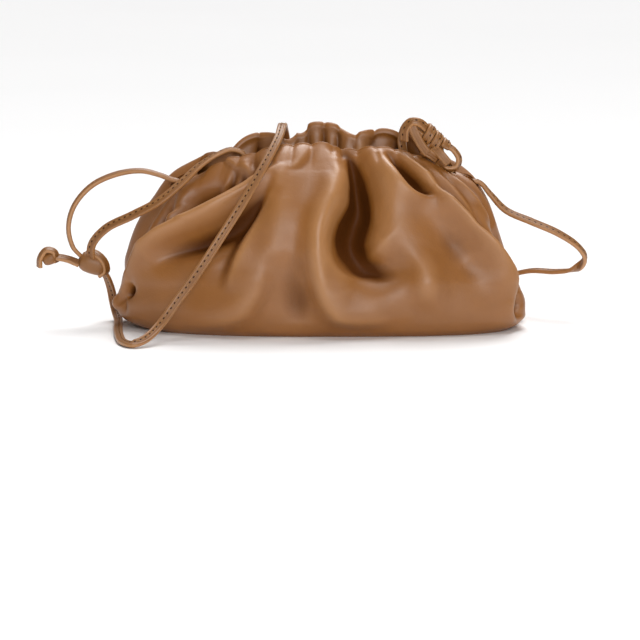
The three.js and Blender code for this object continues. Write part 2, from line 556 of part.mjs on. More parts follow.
// A length of strap along a route, grown all round by grow where it cuts its own seat in a knot.
function strap(route, step, grow = 0) {
  const rows = route.map((row) => ({ ...row }));
  if (grow > 0) {
    const lengthen = (end, before) => {
      const run = new THREE.Vector3(...end.at).sub(new THREE.Vector3(...before.at)).setLength(grow);
      return { at: end.at.map((value, k) => value + run.getComponent(k)), face: end.face };
    };
    rows[0] = lengthen(route[0], route[1]);
    rows[rows.length - 1] = lengthen(route.at(-1), route.at(-2));
  }
  const curve = new StrapCurve(rows);
  return new THREE.ExtrudeGeometry(strapSection(STRAP_WIDTH + 2 * grow, STRAP_THICKNESS + 2 * grow), {
    steps: Math.ceil(curve.getLength() / step),
    extrudePath: curve,
    bevelEnabled: false,
  });
}

// A knot's turns of strap, pulled tight side by side round its axis, as one solid.
function turnsOfStrap({ at, axis, girth, spread, turns }) {
  const [radius, length] = [girth * STRAP_WIDTH, spread * STRAP_WIDTH];
  const profile = [new THREE.Vector2(0, -length / 2)];
  const width = length / turns;
  for (let turn = 0; turn < turns; turn++) {
    const middle = (turn + 0.5) * width - length / 2;
    const reach = turns > 1 ? 0.47 : 0.36;
    for (const [along, out] of [[-reach, 0.78], [-0.24, 0.97], [0, 1], [0.24, 0.97], [reach, 0.78]])
      profile.push(new THREE.Vector2(radius * out, middle + along * width));
  }
  profile.push(new THREE.Vector2(0, length / 2));
  const turned = new THREE.LatheGeometry(profile, KNOT_SIDES);
  const stand = new THREE.Quaternion();
  stand.setFromUnitVectors(new THREE.Vector3(0, 1, 0), new THREE.Vector3(...axis).normalize());
  turned.applyQuaternion(stand);
  turned.translate(...at);
  return solidOf(turned);
}

// A knot is its tight middle and the bands on it, with a seat cut in it for each strap that runs in.
function knot(middles, bands, straps) {
  const parts = [...middles.map(turnsOfStrap), ...bands.map((route) => solidOf(strap(route, BAND_STEP)))];
  const whole = parts.reduce((sum, part) => sum.add(part));
  return straps.reduce((sum, [route, step]) => sum.subtract(solidOf(strap(route, step, KNOT_GAP))), whole);
}

const leather = new THREE.MeshStandardMaterial({ color: 0x9b6a3c, roughness: 0.45, metalness: 0 });
const strapLeather = new THREE.MeshStandardMaterial({ color: 0xa5784c, roughness: 0.5, metalness: 0 });

const bag = new THREE.Group();
function add(name, geometry, material) {
  const mesh = new THREE.Mesh(geometry, material);
  mesh.name = name;
  bag.add(mesh);
}

// The pouch is one form, cut along its side seams into the front panel and the back panel.
const slots = slotCutter(-1).add(slotCutter(1));
const [bottom, floor] = [new THREE.Vector3(0, 0, 0), new THREE.Vector3(0, 0, LEATHER)];
const pouch = skin(pouchRings(), bottom, floor, BASE_RINGS + WALL_RINGS).subtract(slots);
add("front_panel", geometryOf(pouch.intersect(frontSide(SEAM_GAP / 2))), leather);
add("back_panel", geometryOf(pouch.subtract(frontSide(-SEAM_GAP / 2))), leather);
add("shoulder_strap", strap(SHOULDER_ROUTE, STRAP_STEP), strapLeather);
add("left_loop", strap(LEFT_LOOP_ROUTE, LOOP_STEP), strapLeather);
const shoulder = [SHOULDER_ROUTE, STRAP_STEP];
const loop = [LEFT_LOOP_ROUTE, LOOP_STEP];
const { left, stopper, rightWraps, rightHeart } = KNOTS;
const tail = [TAIL_ROUTE, BAND_STEP];
add("left_knot", geometryOf(knot([left], [LEFT_KNOT_BAND], [shoulder, loop, tail])), strapLeather);
add("tail_knot", geometryOf(knot([stopper], [TAIL_ROUTE, STOPPER_BAND], [])), strapLeather);
add("right_knot", geometryOf(knot([rightWraps, rightHeart], [RIGHT_KNOT_BAND], [shoulder])), strapLeather);

export default bag;
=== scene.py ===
"""A gathered leather pouch bag with a knotted strap, modelled over its fixed frame."""

import math

import bmesh
import bpy
import numpy as np
from bpy.props import FloatProperty, FloatVectorProperty, IntProperty, PointerProperty
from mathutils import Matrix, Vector


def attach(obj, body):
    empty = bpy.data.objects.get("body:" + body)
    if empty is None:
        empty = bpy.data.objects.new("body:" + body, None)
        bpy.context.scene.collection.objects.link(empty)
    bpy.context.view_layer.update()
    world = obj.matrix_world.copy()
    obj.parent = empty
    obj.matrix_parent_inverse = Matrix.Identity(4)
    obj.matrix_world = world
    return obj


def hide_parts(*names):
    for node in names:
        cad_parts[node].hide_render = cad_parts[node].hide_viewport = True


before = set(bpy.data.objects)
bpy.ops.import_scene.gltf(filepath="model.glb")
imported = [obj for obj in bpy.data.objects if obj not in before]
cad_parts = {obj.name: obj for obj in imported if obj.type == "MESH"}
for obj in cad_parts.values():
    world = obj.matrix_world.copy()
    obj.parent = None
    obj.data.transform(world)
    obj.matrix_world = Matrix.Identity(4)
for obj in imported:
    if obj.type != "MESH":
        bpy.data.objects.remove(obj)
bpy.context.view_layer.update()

bl_info = {
    "name": "Gathered Leather Pouch",
    "version": (1, 0, 0),
    "blender": (4, 5, 0),
    "location": "3D View > Sidebar > Pouch",
    "description": "Builds a slouchy gathered leather pouch, its knotted strap and a plain stage",
    "category": "Add Mesh",
}

MM = 0.001

# How finely things are drawn.
STROKE_STEPS = 12  # from point to point of a fold's line
ROUTE_STEPS = 24  # from point to point of a strap's route
COIL_STEPS = 14  # in a turn of the coil
KNOT_SIDES, KNOT_RINGS = 40, 11
INNER_RINGS, RIM_STEPS = 31, 10  # down the inside of the wall, and over the rim
FRONT_BASE_ROWS, BACK_BASE_ROWS = 14, 2
BACK_FINENESS = 0.85  # the back's columns and rings, as a share of the front's
RIM_CROWDING = 1.35  # over 1 sets the rings closer together towards the rim
FRONT_CROWDING, BACK_CROWDING = 0.16, 0.1  # how much closer the columns stand towards the side seams

# How the folds and the wall are shaped, in metres where it doesn't say otherwise.
FOLD_MARGIN = 3.2  # how far off a fold is still felt, in its own reaches
POINTED = 0.9  # how much sharper than a bell curve the section of a crisp fold is
CRISP_LAP, SOFT_LAP = 0.0004, 0.0036  # half the width of a crisp lap's edge, and what a soft one adds
FOOT_LEVEL = 0.12  # the level above which folds have their full depth
STEEPEST = 1.7  # the most that a slope makes the wall thicker along the way outwards
SEAM_EDGE = 0.0003  # how far a panel stops short of a side seam, in radians
SLOT_HALF, SLOT_REACH = 0.0034, 0.006  # half the slot's height, and how far from the seam it is felt
END_LIP = 0.0012  # the lip's thickness at the mouth's two ends
UNEVENNESS = ((7, 0.00016), (15, 0.0004))  # the leather's slow dents: their radius in samples, their height
FRONT_SEED, BACK_SEED = 3, 4

# How the puffs along the two lips are shaped, in metres or as shares of their bulge.
PUFF_DIP = 0.0012  # how far the rim sinks between two puffs
FRONT_SHARE = 0.4  # how much of the front's bulge shows
FRONT_MEAN, BACK_MEAN = 0.0014, 0.002  # the bulge that leaves the lip where it is
RIM_SHARE, RIM_ROLL = 0.35, 0.006  # how much bulges at the rim itself, and how far down it is full
BELLY, BELLY_TOP, BELLY_FULL = 0.9, 0.003, 0.013  # what a back puff gains below the rim, and where
PADDING, PAD_TOP, PAD_FULL, PAD_FADE = 1.6, 0.0005, 0.009, 0.018  # how the back puffs are filled inwards

# How deep in a crease a place counts as lying, which paints shade into the leather's colour; over a ridge it
# counts below naught, which paints a highlight.
CREASE_BLUR, HOLLOW_RADIUS = 9, 13  # in samples
HOLLOW_START = 0.002  # how deep a broad hollow is before it counts
HOLLOW_SHADE, RIDGE_SHEEN = 0.3, 0.07  # how much a broad hollow counts towards painted shade, and a broad ridge towards a painted highlight
INSIDE_SHADE = 0.012  # painted shade for each metre below the rim, inside the bag
FLOOR_SHADE = 0.002  # painted shade on the floor of the bag

# The pouch's sections, a row for each level of the wall as a share of the rim's height there. left and
# right are shares of half the width, front and back of half the depth.
SECTION_COLUMNS = ("level", "left", "right", "front", "back", "square_left", "square_right")
SECTIONS = (
    (0.0, 0.86, 0.92, 0.86, 0.86, 2.5, 3.2),
    (0.035, 0.93, 0.965, 0.94, 0.94, 2.5, 3.2),
    (0.09, 0.985, 1.0, 0.985, 0.985, 2.5, 3.1),
    (0.16, 1.0, 1.0, 1.0, 1.0, 2.5, 3.0),
    (0.3, 0.965, 0.965, 1.0, 1.0, 2.4, 2.8),
    (0.4, 0.94, 0.94, 0.96, 0.97, 2.4, 2.6),
    (0.56, 0.905, 0.905, 0.86, 0.88, 2.3, 2.4),
    (0.75, 0.835, 0.86, 0.66, 0.68, 2.2, 2.3),
    (0.875, 0.766, 0.805, 0.47, 0.48, 2.4, 2.4),
    (0.96, 0.68, 0.75, 0.29, 0.32, 2.3, 2.4),
    (1.0, 0.6, 0.66, 0.2, 0.24, 2.6, 2.6),
)

# The folds: the line that each one's crest, bottom or edge follows, as (angle, level, depth), then how far
# it reaches to a viewer's left and right, as shares of the bag's width, how crisp it is from 0 to 1, and
# 1 if it is a lap, which lifts the leather on its left side and sinks it on its right. Angles are degrees
# round the bag from the middle of the front, and depths shares of the deepest fold.
FOLDS = (
    # The left-hand end: the tuck in front of the seam, its lapped edge, and the long ridge below.
    (((-64, 0.92, 0), (-67, 0.8, -0.2), (-67, 0.6, -0.36), (-72, 0.45, -0.26), (-84, 0.3, -0.12)),
     0.03, 0.016, 0.7, 0),
    (((-50, 0.88, 0), (-56, 0.76, 0.16), (-57, 0.68, 0.2), (-55, 0.62, 0.08)), 0.016, 0.05, 0.4, 0),
    (((-52, 0.8, 0), (-57.5, 0.745, -0.06), (-63, 0.71, -0.07), (-66, 0.645, -0.07), (-65, 0.58, -0.03)),
     0.014, 0.03, 0.5, 1),
    (((-66, 0.79, 0), (-70, 0.73, -0.035), (-70, 0.68, -0.03), (-69, 0.63, 0)), 0.007, 0.009, 0.4, 1),
    (((-24, 0.92, -0.1), (-27, 0.86, -0.34), (-42, 0.755, -0.5), (-55, 0.64, -0.34), (-66, 0.55, -0.08)),
     0.065, 0.02, 0.6, 0),
    (((-21, 0.93, 0.12), (-23, 0.85, 0.26), (-41, 0.7, 0.34), (-57, 0.565, 0.34), (-73, 0.4, 0.16)),
     0.018, 0.048, 0.4, 0),
    (((-21, 0.87, -0.04), (-25, 0.85, -0.08), (-30.5, 0.815, -0.11), (-36.5, 0.77, -0.12),
      (-43, 0.715, -0.12), (-49, 0.66, -0.13), (-55, 0.6, -0.13), (-63, 0.52, -0.1), (-70, 0.44, -0.06),
      (-76, 0.37, 0)), 0.03, 0.04, 0.85, 1),
    (((-17.5, 0.78, -0.08), (-22.5, 0.695, -0.28), (-28.5, 0.6, -0.4), (-36, 0.545, -0.42),
      (-45, 0.505, -0.32), (-56, 0.44, -0.06)), 0.036, 0.03, 0.1, 0),
    (((-16, 0.81, -0.02), (-18.5, 0.725, -0.08), (-21.5, 0.62, -0.12), (-24, 0.505, -0.12),
      (-26, 0.37, -0.07), (-26.5, 0.26, 0)), 0.03, 0.05, 0.6, 1),
    # The small pleats where the casing is drawn in above the ridge.
    (((-36, 0.95, 0.02), (-35, 0.89, 0.06), (-36, 0.82, 0.02)), 0.006, 0.007, 0.3, 0),
    (((-31.5, 0.93, 0.02), (-31, 0.885, 0.06), (-31.5, 0.84, 0.02)), 0.005, 0.006, 0.3, 0),
    (((-31, 0.96, 0.02), (-26.5, 0.905, 0.07), (-25, 0.86, 0.02)), 0.006, 0.007, 0.3, 0),
    (((-27, 0.97, -0.03), (-23.5, 0.91, -0.09), (-23.5, 0.87, -0.03)), 0.006, 0.005, 0.4, 0),
    (((-33.5, 0.94, -0.02), (-33, 0.88, -0.06), (-33.5, 0.83, -0.03)), 0.005, 0.005, 0.4, 0),
    # The pouting foot to the left of the middle.
    (((-17, 0.555, 0.01), (-17.5, 0.42, 0.07), (-17.5, 0.325, 0.13), (-19, 0.23, 0.17),
      (-21.5, 0.155, 0.17), (-27.5, 0.1, 0.14), (-34.5, 0.08, 0.07), (-41, 0.08, 0)), 0.06, 0.026, 0.2, 0),
    (((-12, 0.93, 0.08), (-11, 0.7, 0.14), (-12, 0.5, 0.12)), 0.04, 0.05, 0.0, 0),
    (((-5, 0.62, -0.04), (-6, 0.42, -0.1), (-6, 0.2, -0.1), (-7, 0.08, -0.04)), 0.04, 0.03, 0.0, 0),
    # The pointed flap under the lip and the two thin creases beside it.
    (((-3.5, 0.97, 0.015), (-6, 0.92, 0.028), (-8.5, 0.885, 0.028), (-12, 0.885, 0)), 0.012, 0.012, 0.7, 1),
    (((4, 0.96, 0.025), (5.5, 0.89, 0.035), (8.5, 0.815, 0.02)), 0.0045, 0.0045, 0.1, 0),
    (((5.8, 0.965, 0.025), (7.7, 0.885, 0.035), (10, 0.83, 0.03)), 0.0045, 0.0045, 0.1, 0),
    # The deep hollow in the middle, its two walls, and the hooked ridge round it.
    (((11, 0.965, -0.2), (12.5, 0.85, -0.5), (13, 0.74, -0.62), (11, 0.64, -0.72), (9.5, 0.525, -0.7),
      (12, 0.42, -0.5), (17, 0.38, -0.34), (23, 0.4, -0.14), (28, 0.44, 0)), 0.036, 0.042, 0.1, 0),
    (((9, 0.975, 0.03), (10.3, 0.93, 0.07), (10.5, 0.84, 0.11), (10, 0.755, 0.11), (7.5, 0.685, 0.11),
      (5, 0.62, 0.09), (3.5, 0.51, 0.06), (5, 0.4, 0.05), (9.5, 0.345, 0.03), (18.5, 0.335, 0)),
     0.028, 0.03, 0.5, 1),
    (((10.3, 0.975, -0.03), (13.5, 0.915, -0.08), (15, 0.81, -0.1), (15.7, 0.705, -0.08), (15.7, 0.62, 0)),
     0.03, 0.03, 0.5, 1),
    (((7, 0.93, 0.08), (7.5, 0.86, 0.18), (4.5, 0.76, 0.24), (1, 0.66, 0.26), (-0.5, 0.575, 0.26),
      (-1, 0.465, 0.25), (-1.5, 0.36, 0.16), (-1, 0.25, 0.04), (0, 0.16, 0)), 0.04, 0.026, 0.3, 0),
    (((0.5, 0.46, 0), (1, 0.35, 0.1), (1.5, 0.24, 0.22), (4, 0.155, 0.25), (8, 0.12, 0.22),
      (14.5, 0.115, 0.16), (20.5, 0.13, 0.06), (25.5, 0.145, 0)), 0.024, 0.065, 0.35, 0),
    # The broad swell, and the pocket to the right of it with its lip and its roll.
    (((19.5, 0.98, 0.08), (22, 0.85, 0.2), (25, 0.68, 0.06), (28, 0.56, 0)), 0.05, 0.06, 0.0, 0),
    (((25, 0.955, -0.1), (28.5, 0.91, -0.28), (32, 0.855, -0.34), (35.5, 0.81, -0.14)),
     0.016, 0.012, 0.4, 0),
    (((23.5, 0.975, 0.03), (25.5, 0.92, 0.08), (27.5, 0.85, 0.11), (30.5, 0.8, 0.12), (34.5, 0.785, 0.08),
      (37.5, 0.79, 0)), 0.03, 0.02, 0.6, 1),
    (((28.5, 0.975, 0.06), (31.5, 0.93, 0.14), (34.5, 0.87, 0.14), (37, 0.82, 0.05)), 0.011, 0.012, 0.2, 0),
    (((38, 0.73, -0.06), (41, 0.635, -0.13), (43.5, 0.545, -0.17), (46, 0.45, -0.1)), 0.06, 0.06, 0.0, 0),
    (((34.5, 0.49, 0), (30.5, 0.375, 0.09), (29, 0.265, 0.11), (27.5, 0.14, 0)), 0.032, 0.032, 0.0, 0),
    # The ridges that fan down to the right-hand end, and the hollow beside them.
    (((37, 0.86, 0.14), (44, 0.76, 0.26), (51, 0.64, 0.32), (56.5, 0.5, 0.34), (58.5, 0.35, 0.28),
      (57, 0.21, 0.12)), 0.045, 0.034, 0.3, 0),
    (((38, 0.87, 0.03), (39.5, 0.82, 0.07), (43.5, 0.77, 0.09), (47, 0.705, 0.1), (50.5, 0.63, 0.1),
      (54, 0.57, 0.1), (57, 0.5, 0.1), (59.5, 0.41, 0.09), (61, 0.31, 0.07), (60, 0.205, 0.02)),
     0.036, 0.022, 0.75, 1),
    (((41, 0.965, 0), (43.5, 0.9, 0.035), (47, 0.815, 0.05), (50, 0.72, 0.05), (50.5, 0.605, 0)),
     0.012, 0.012, 0.6, 1),
    (((48, 0.96, 0.03), (51, 0.9, 0.09), (55, 0.83, 0.11), (59.5, 0.75, 0.1), (62.5, 0.67, 0.07),
      (64, 0.6, 0)), 0.02, 0.016, 0.65, 1),
    (((53, 0.95, 0.02), (56, 0.885, 0.07), (59, 0.81, 0.06), (61, 0.76, 0.01)), 0.014, 0.012, 0.6, 1),
    (((61, 0.62, -0.12), (64, 0.54, -0.34), (66, 0.44, -0.36), (67, 0.34, -0.14)), 0.012, 0.028, 0.6, 0),
    # The two boxed corners at the foot.
    (((-63.5, 0.3, -0.04), (-64, 0.255, -0.34), (-66.5, 0.215, -0.1)), 0.008, 0.012, 0.6, 0),
    (((-66, 0.22, 0), (-68.5, 0.18, -0.07), (-71, 0.13, 0)), 0.006, 0.008, 0.7, 0),
    (((-64, 0.21, 0), (-64, 0.155, -0.08), (-64, 0.1, 0)), 0.007, 0.007, 0.7, 0),
    (((-74, 0.22, 0), (-75, 0.16, 0.08), (-76, 0.1, 0)), 0.02, 0.02, 0.2, 0),
    (((62, 0.24, -0.1), (60, 0.165, -0.42), (60.5, 0.11, -0.14)), 0.01, 0.016, 0.5, 0),
    # The gussets, which sink in along the side seams.
    (((-90, 1.0, -0.1), (-92, 0.75, -0.2), (-92, 0.4, -0.24), (-90, 0.12, -0.16)), 0.034, 0.034, 0.3, 0),
    (((90, 1.0, -0.1), (91, 0.75, -0.24), (92, 0.4, -0.3), (90, 0.12, -0.22)), 0.034, 0.034, 0.3, 0),
    # The back panel, from the right-hand end to the left-hand end.
    (((138, 0.97, -0.2), (134, 0.7, -0.3), (126, 0.42, -0.1)), 0.02, 0.04, 0.5, 0),
    (((152, 0.95, 0.1), (154, 0.6, 0.2), (146, 0.25, 0.14)), 0.05, 0.06, 0.0, 0),
    (((166, 0.97, -0.2), (168, 0.72, -0.4), (164, 0.42, -0.1)), 0.03, 0.03, 0.4, 0),
    (((180, 0.9, 0.08), (182, 0.6, 0.2), (184, 0.3, 0.14)), 0.06, 0.05, 0.0, 0),
    (((195, 0.97, -0.2), (193, 0.66, -0.36), (199, 0.36, -0.1)), 0.035, 0.03, 0.4, 0),
    (((208, 0.92, 0.08), (209, 0.6, 0.2), (216, 0.28, 0.14)), 0.05, 0.05, 0.0, 0),
    (((222, 0.97, -0.2), (228, 0.7, -0.3), (236, 0.45, -0.1)), 0.04, 0.02, 0.5, 0),
    (((234, 0.96, 0.1), (242, 0.68, 0.2), (252, 0.4, 0.16)), 0.03, 0.05, 0.2, 0),
)

# The puffs that the drawn-in casing makes along each lip, in millimetres: where each one's middle is to the
# right of the bag's middle, half its width, how far it rises and bulges, and how far it leans to the right
# for each millimetre of height.
FRONT_PUFFS = (
    (-58, 6, 0.2, 1.2, 0.5), (-49, 5, 0.4, 1.6, 0.5), (-40, 4.6, 0.6, 1.8, 0.4),
    (-30.7, 5.2, 0.8, 1.8, 0.3),
    (-20, 5.6, 0.8, 1.8, 0.2), (-9.5, 5.2, 1.0, 2.0, 0.1), (1.1, 6.0, 1.4, 2.0, 0), (9.3, 3.2, 0.4, 1.2, 0),
    (16.7, 4.5, 1.4, 2.0, 0), (25.5, 5.0, 0.9, 1.8, -0.1), (35.5, 5.4, 0.9, 2.0, -0.3),
    (45.8, 5.2, 0.3, 1.4, -0.5), (56, 5.6, 0, 1.0, -0.6),
)
BACK_PUFFS = (
    (-58, 9, 0.4, 4.5, 0), (-43, 9.6, 1.6, 6.5, 0.3), (-27, 7, 1.0, 8.0, 0.2), (-17, 4.8, -3.2, 6.5, 0),
    (-10, 3.6, -2.6, 7.0, 0), (-2.2, 5.3, 2.2, 8.0, 0), (6.6, 4.6, 2.0, 8.0, 0), (16, 5.3, 0.4, 8.0, 0.2),
    (25.8, 5.0, 3.0, 7.5, 0.4), (37.5, 7.4, 2.9, 7.0, 0.3), (53, 8, 6.0, 3.0, 0), (64, 6, 1.5, 1.5, 0),
)

# The strap's routes: a point on its middle line, and the way that its flat stitched side faces there.
SHOULDER_ROUTE = (
    ((-0.121, 0, 0.031), (-0.6, -0.7, 0.4)), ((-0.1185, 0.0055, 0.0245), (-0.5, -0.8, 0)),
    ((-0.117, 0.011, 0.0175), (-0.3, -0.9, -0.3)), ((-0.116, 0.014, 0.0105), (0, -1, 0)),
    ((-0.1144, 0.0115, 0.0048), (0, -0.7, 0.7)), ((-0.1128, 0.004, 0.0022), (0, -0.1, 1)),
    ((-0.112, -0.008, 0.0018), (0, 0, 1)), ((-0.111, -0.026, 0.0018), (0, 0, 1)),
    ((-0.1092, -0.046, 0.0018), (0, 0, 1)), ((-0.1056, -0.066, 0.0018), (0, -0.2, 1)),
    ((-0.1, -0.0745, 0.0024), (0.1, -0.5, 0.9)), ((-0.0935, -0.0705, 0.0044), (0.1, -0.8, 0.6)),
    ((-0.086, -0.0605, 0.0105), (0.1, -0.9, 0.5)), ((-0.0765, -0.054, 0.023), (0, -1, 0.2)),
    ((-0.065, -0.05, 0.0385), (0, -1, 0.1)), ((-0.053, -0.045, 0.0565), (0, -1, 0.3)),
    ((-0.0415, -0.038, 0.074), (-0.1, -1, 0.5)), ((-0.032, -0.0282, 0.0898), (-0.1, -0.8, 0.7)),
    ((-0.0255, -0.017, 0.1006), (0, -0.6, 0.8)), ((-0.0223, -0.008, 0.1066), (0, -0.6, 0.8)),
    ((-0.0212, 0, 0.11), (0, -0.3, 1)), ((-0.0206, 0.008, 0.1106), (0, 0.2, 1)),
    ((-0.02, 0.016, 0.1068), (0, 0.7, 0.7)), ((-0.0185, 0.023, 0.0972), (0, 0.95, 0.3)),
    ((-0.016, 0.0342, 0.0804), (0, 0.9, 0.5)), ((-0.013, 0.0466, 0.0628), (0, 0.95, 0.3)),
    ((-0.009, 0.0536, 0.043), (0, 1, 0.1)), ((-0.004, 0.056, 0.0225), (0, 1, 0.1)),
    ((0.003, 0.059, 0.0075), (0, 0.8, 0.6)), ((0.014, 0.064, 0.0029), (0, 0.1, 1)),
    ((0.027, 0.0664, 0.0019), (0, 0, 1)), ((0.04, 0.067, 0.0018), (0, 0, 1)),
    ((0.065, 0.063, 0.0022), (0, 0, 1)), ((0.088, 0.054, 0.008), (-0.2, 0, 1)),
    ((0.104, 0.042, 0.019), (-0.3, 0, 1)), ((0.119, 0.031, 0.025), (0, -0.1, 1)),
    ((0.133, 0.022, 0.026), (0.2, -0.3, 1)), ((0.143, 0.013, 0.029), (0.6, -0.5, 0.7)),
    ((0.1476, 0.004, 0.0365), (0.9, -0.4, 0.3)), ((0.143, -0.001, 0.044), (0.6, -0.4, 0.8)),
    ((0.132, -0.0025, 0.0515), (0.4, -0.5, 0.8)), ((0.117, -0.002, 0.058), (0.3, -0.5, 0.8)),
    ((0.103, 0, 0.064), (0.3, -0.4, 0.9)), ((0.0945, 0.002, 0.0726), (0.5, -0.2, 0.8)),
    ((0.0883, 0.002, 0.0793), (0.5, 0, 0.9)), ((0.0805, 0.002, 0.0801), (0, 0, 1)),
    ((0.069, 0.002, 0.08), (0, 0, 1)), ((0.06, 0.0018, 0.0806), (0.1, 0, 1)),
    ((0.0525, 0.0008, 0.0842), (0.6, 0, 0.8)), ((0.0478, -0.0008, 0.0905), (0.9, -0.3, 0.3)),
    ((0.0458, -0.0026, 0.0975), (0.4, -0.9, 0)), ((0.0452, -0.0044, 0.1045), (-0.4, -0.9, 0.1)),
    ((0.0469, -0.0058, 0.111), (-0.5, -0.7, 0.5)), ((0.051, -0.0068, 0.1146), (0, -0.4, 1)),
    ((0.0552, -0.0074, 0.1114), (0.3, -0.9, 0.3)), ((0.0576, -0.0078, 0.1055), (0.1, -1, 0)),
    ((0.0596, -0.007, 0.0995), (0.1, -1, 0)),
)
LEFT_LOOP_ROUTE = (
    ((-0.127, -0.0054, 0.038), (-0.4, -0.9, 0.3)), ((-0.126, -0.008, 0.046), (-0.4, -0.9, 0.3)),
    ((-0.118, -0.012, 0.0555), (-0.3, -0.9, 0.5)), ((-0.103, -0.0165, 0.0635), (-0.2, -0.9, 0.5)),
    ((-0.088, -0.017, 0.0715), (-0.2, -0.8, 0.6)), ((-0.076, -0.012, 0.081), (-0.2, -0.6, 0.8)),
    ((-0.067, -0.006, 0.089), (-0.3, -0.3, 0.9)), ((-0.058, -0.0022, 0.0946), (-0.3, 0, 1)),
    ((-0.049, 0.0004, 0.0978), (0, 0, 1)), ((-0.0425, 0.001, 0.0955), (0.7, 0, 0.7)),
    ((-0.0405, 0.0012, 0.09), (1, 0, 0)), ((-0.0435, 0.0015, 0.084), (0.7, 0, -0.7)),
    ((-0.051, 0.0018, 0.0806), (0.2, 0, -1)), ((-0.062, 0.002, 0.0798), (0, 0, -1)),
    ((-0.073, 0.002, 0.0797), (0, 0, -1)), ((-0.081, 0.002, 0.0806), (0.1, 0, -1)),
    ((-0.089, 0.0028, 0.0834), (0, 0, -1)), ((-0.099, 0.004, 0.0855), (0, 0.1, -1)),
    ((-0.113, 0.005, 0.0835), (0.2, 0.2, -1)), ((-0.127, 0.004, 0.077), (0.6, 0.2, -0.8)),
    ((-0.1365, 0.001, 0.066), (0.9, 0.2, -0.4)), ((-0.1395, -0.001, 0.054), (1, 0.2, 0)),
    ((-0.137, -0.002, 0.0435), (0.9, 0.2, 0.3)), ((-0.1328, -0.001, 0.0384), (0.8, 0.2, 0.5)),
)
TAIL_ROUTE = (
    ((-0.1336, -0.0034, 0.0346), (-0.1, -0.6, 0.8)), ((-0.14, -0.004, 0.0372), (0, -0.5, 0.9)),
    ((-0.146, -0.005, 0.0384), (0, -0.5, 0.9)), ((-0.1505, -0.0055, 0.038), (0, -0.5, 0.9)),
)

# The bands of strap that show on the outside of the knots.
LEFT_KNOT_BAND = (
    ((-0.1295, -0.001, 0.0405), (-0.5, -0.3, 0.9)), ((-0.1245, -0.0045, 0.0405), (0.3, -0.5, 0.8)),
    ((-0.1196, -0.0055, 0.036), (0.8, -0.6, 0.4)), ((-0.1186, -0.004, 0.0305), (0.8, -0.5, -0.3)),
    ((-0.122, -0.0015, 0.0276), (0.4, 0, -0.9)),
)
STOPPER_BAND = (
    ((-0.1465, -0.0054, 0.0356), (0.6, -0.3, -0.5)), ((-0.147, -0.006, 0.0414), (0.3, -0.3, 0.9)),
    ((-0.1515, -0.0064, 0.0426), (-0.4, -0.3, 0.9)), ((-0.155, -0.0066, 0.038), (-0.9, -0.4, 0.3)),
    ((-0.1554, -0.0062, 0.033), (-0.9, -0.4, 0)),
)
RIGHT_KNOT_LOOP = (
    ((0.0685, -0.006, 0.1015), (0.6, -0.4, 0.7)), ((0.0735, -0.007, 0.0985), (0.8, -0.3, 0.5)),
    ((0.0765, -0.008, 0.0935), (0.9, -0.4, 0)), ((0.0748, -0.0088, 0.0888), (0.7, -0.4, -0.6)),
    ((0.0695, -0.009, 0.0882), (0, -0.5, -0.9)), ((0.0645, -0.0085, 0.0925), (-0.3, -0.9, -0.4)),
)
RIGHT_KNOT_ARCH = (
    ((0.0462, -0.0082, 0.1035), (-0.5, -0.9, 0.1)), ((0.0468, -0.009, 0.1098), (-0.5, -0.7, 0.4)),
    ((0.0502, -0.0098, 0.1142), (-0.1, -0.8, 0.7)), ((0.0547, -0.0098, 0.1138), (0.2, -0.8, 0.6)),
    ((0.0585, -0.0085, 0.1105), (0.4, -0.8, 0.4)),
)
RIGHT_KNOT_END = (
    ((0.0625, -0.0096, 0.1005), (0.2, -1, 0.1)), ((0.0665, -0.0116, 0.0962), (0.2, -1, 0.1)),
    ((0.0705, -0.012, 0.0915), (0.2, -1, 0.1)),
)
RIGHT_KNOT_DROP = (
    ((0.0498, -0.0092, 0.1138), (0, -0.9, 0.4)), ((0.0522, -0.0104, 0.108), (0.1, -1, 0.1)),
    ((0.0553, -0.0106, 0.102), (0.1, -1, 0)), ((0.0592, -0.0102, 0.0965), (0.1, -1, 0)),
)
RIGHT_KNOT_FOLD = (
    ((0.0565, -0.0086, 0.0985), (0.3, -0.9, 0.3)), ((0.0605, -0.0106, 0.0965), (0.1, -1, -0.2)),
    ((0.0645, -0.0098, 0.0938), (-0.2, -0.9, -0.4)),
)

# The knots' middles: where each one is, the way its axis points, and its radius and length in widths of
# the strap. A coil of strap is wound round the right knot's middle, with this many turns and, in widths of
# the strap, this much air under it and this much from turn to turn. It starts at this angle, in radians.
LEFT_MIDDLE = ((-0.126, -0.002, 0.0345), (0.94, 0, -0.3), 1.2, 3.4)
STOPPER_MIDDLE = ((-0.15, -0.0056, 0.0376), (0.95, 0, 0.3), 0.68, 1.6)
RIGHT_MIDDLE = ((0.0618, -0.0066, 0.1048), (0.72, 0, -0.69), 0.56, 3.2)
RIGHT_HEART = ((0.061, -0.0055, 0.0999), (0.92, 0, -0.38), 0.8, 3.2)
COIL_TURNS, COIL_AIR, COIL_PITCH, COIL_START = 2.9, 0.045, 1.12, -1.2
KNOT_EDGE = 0.46  # how far out on a strap the knots' middles count as lying, which paints shade into their colour
BARREL_END, BARREL_REACH, BARREL_SQUARE = 0.74, 0.4, 3.2  # their radius and place at the ends, and fullness

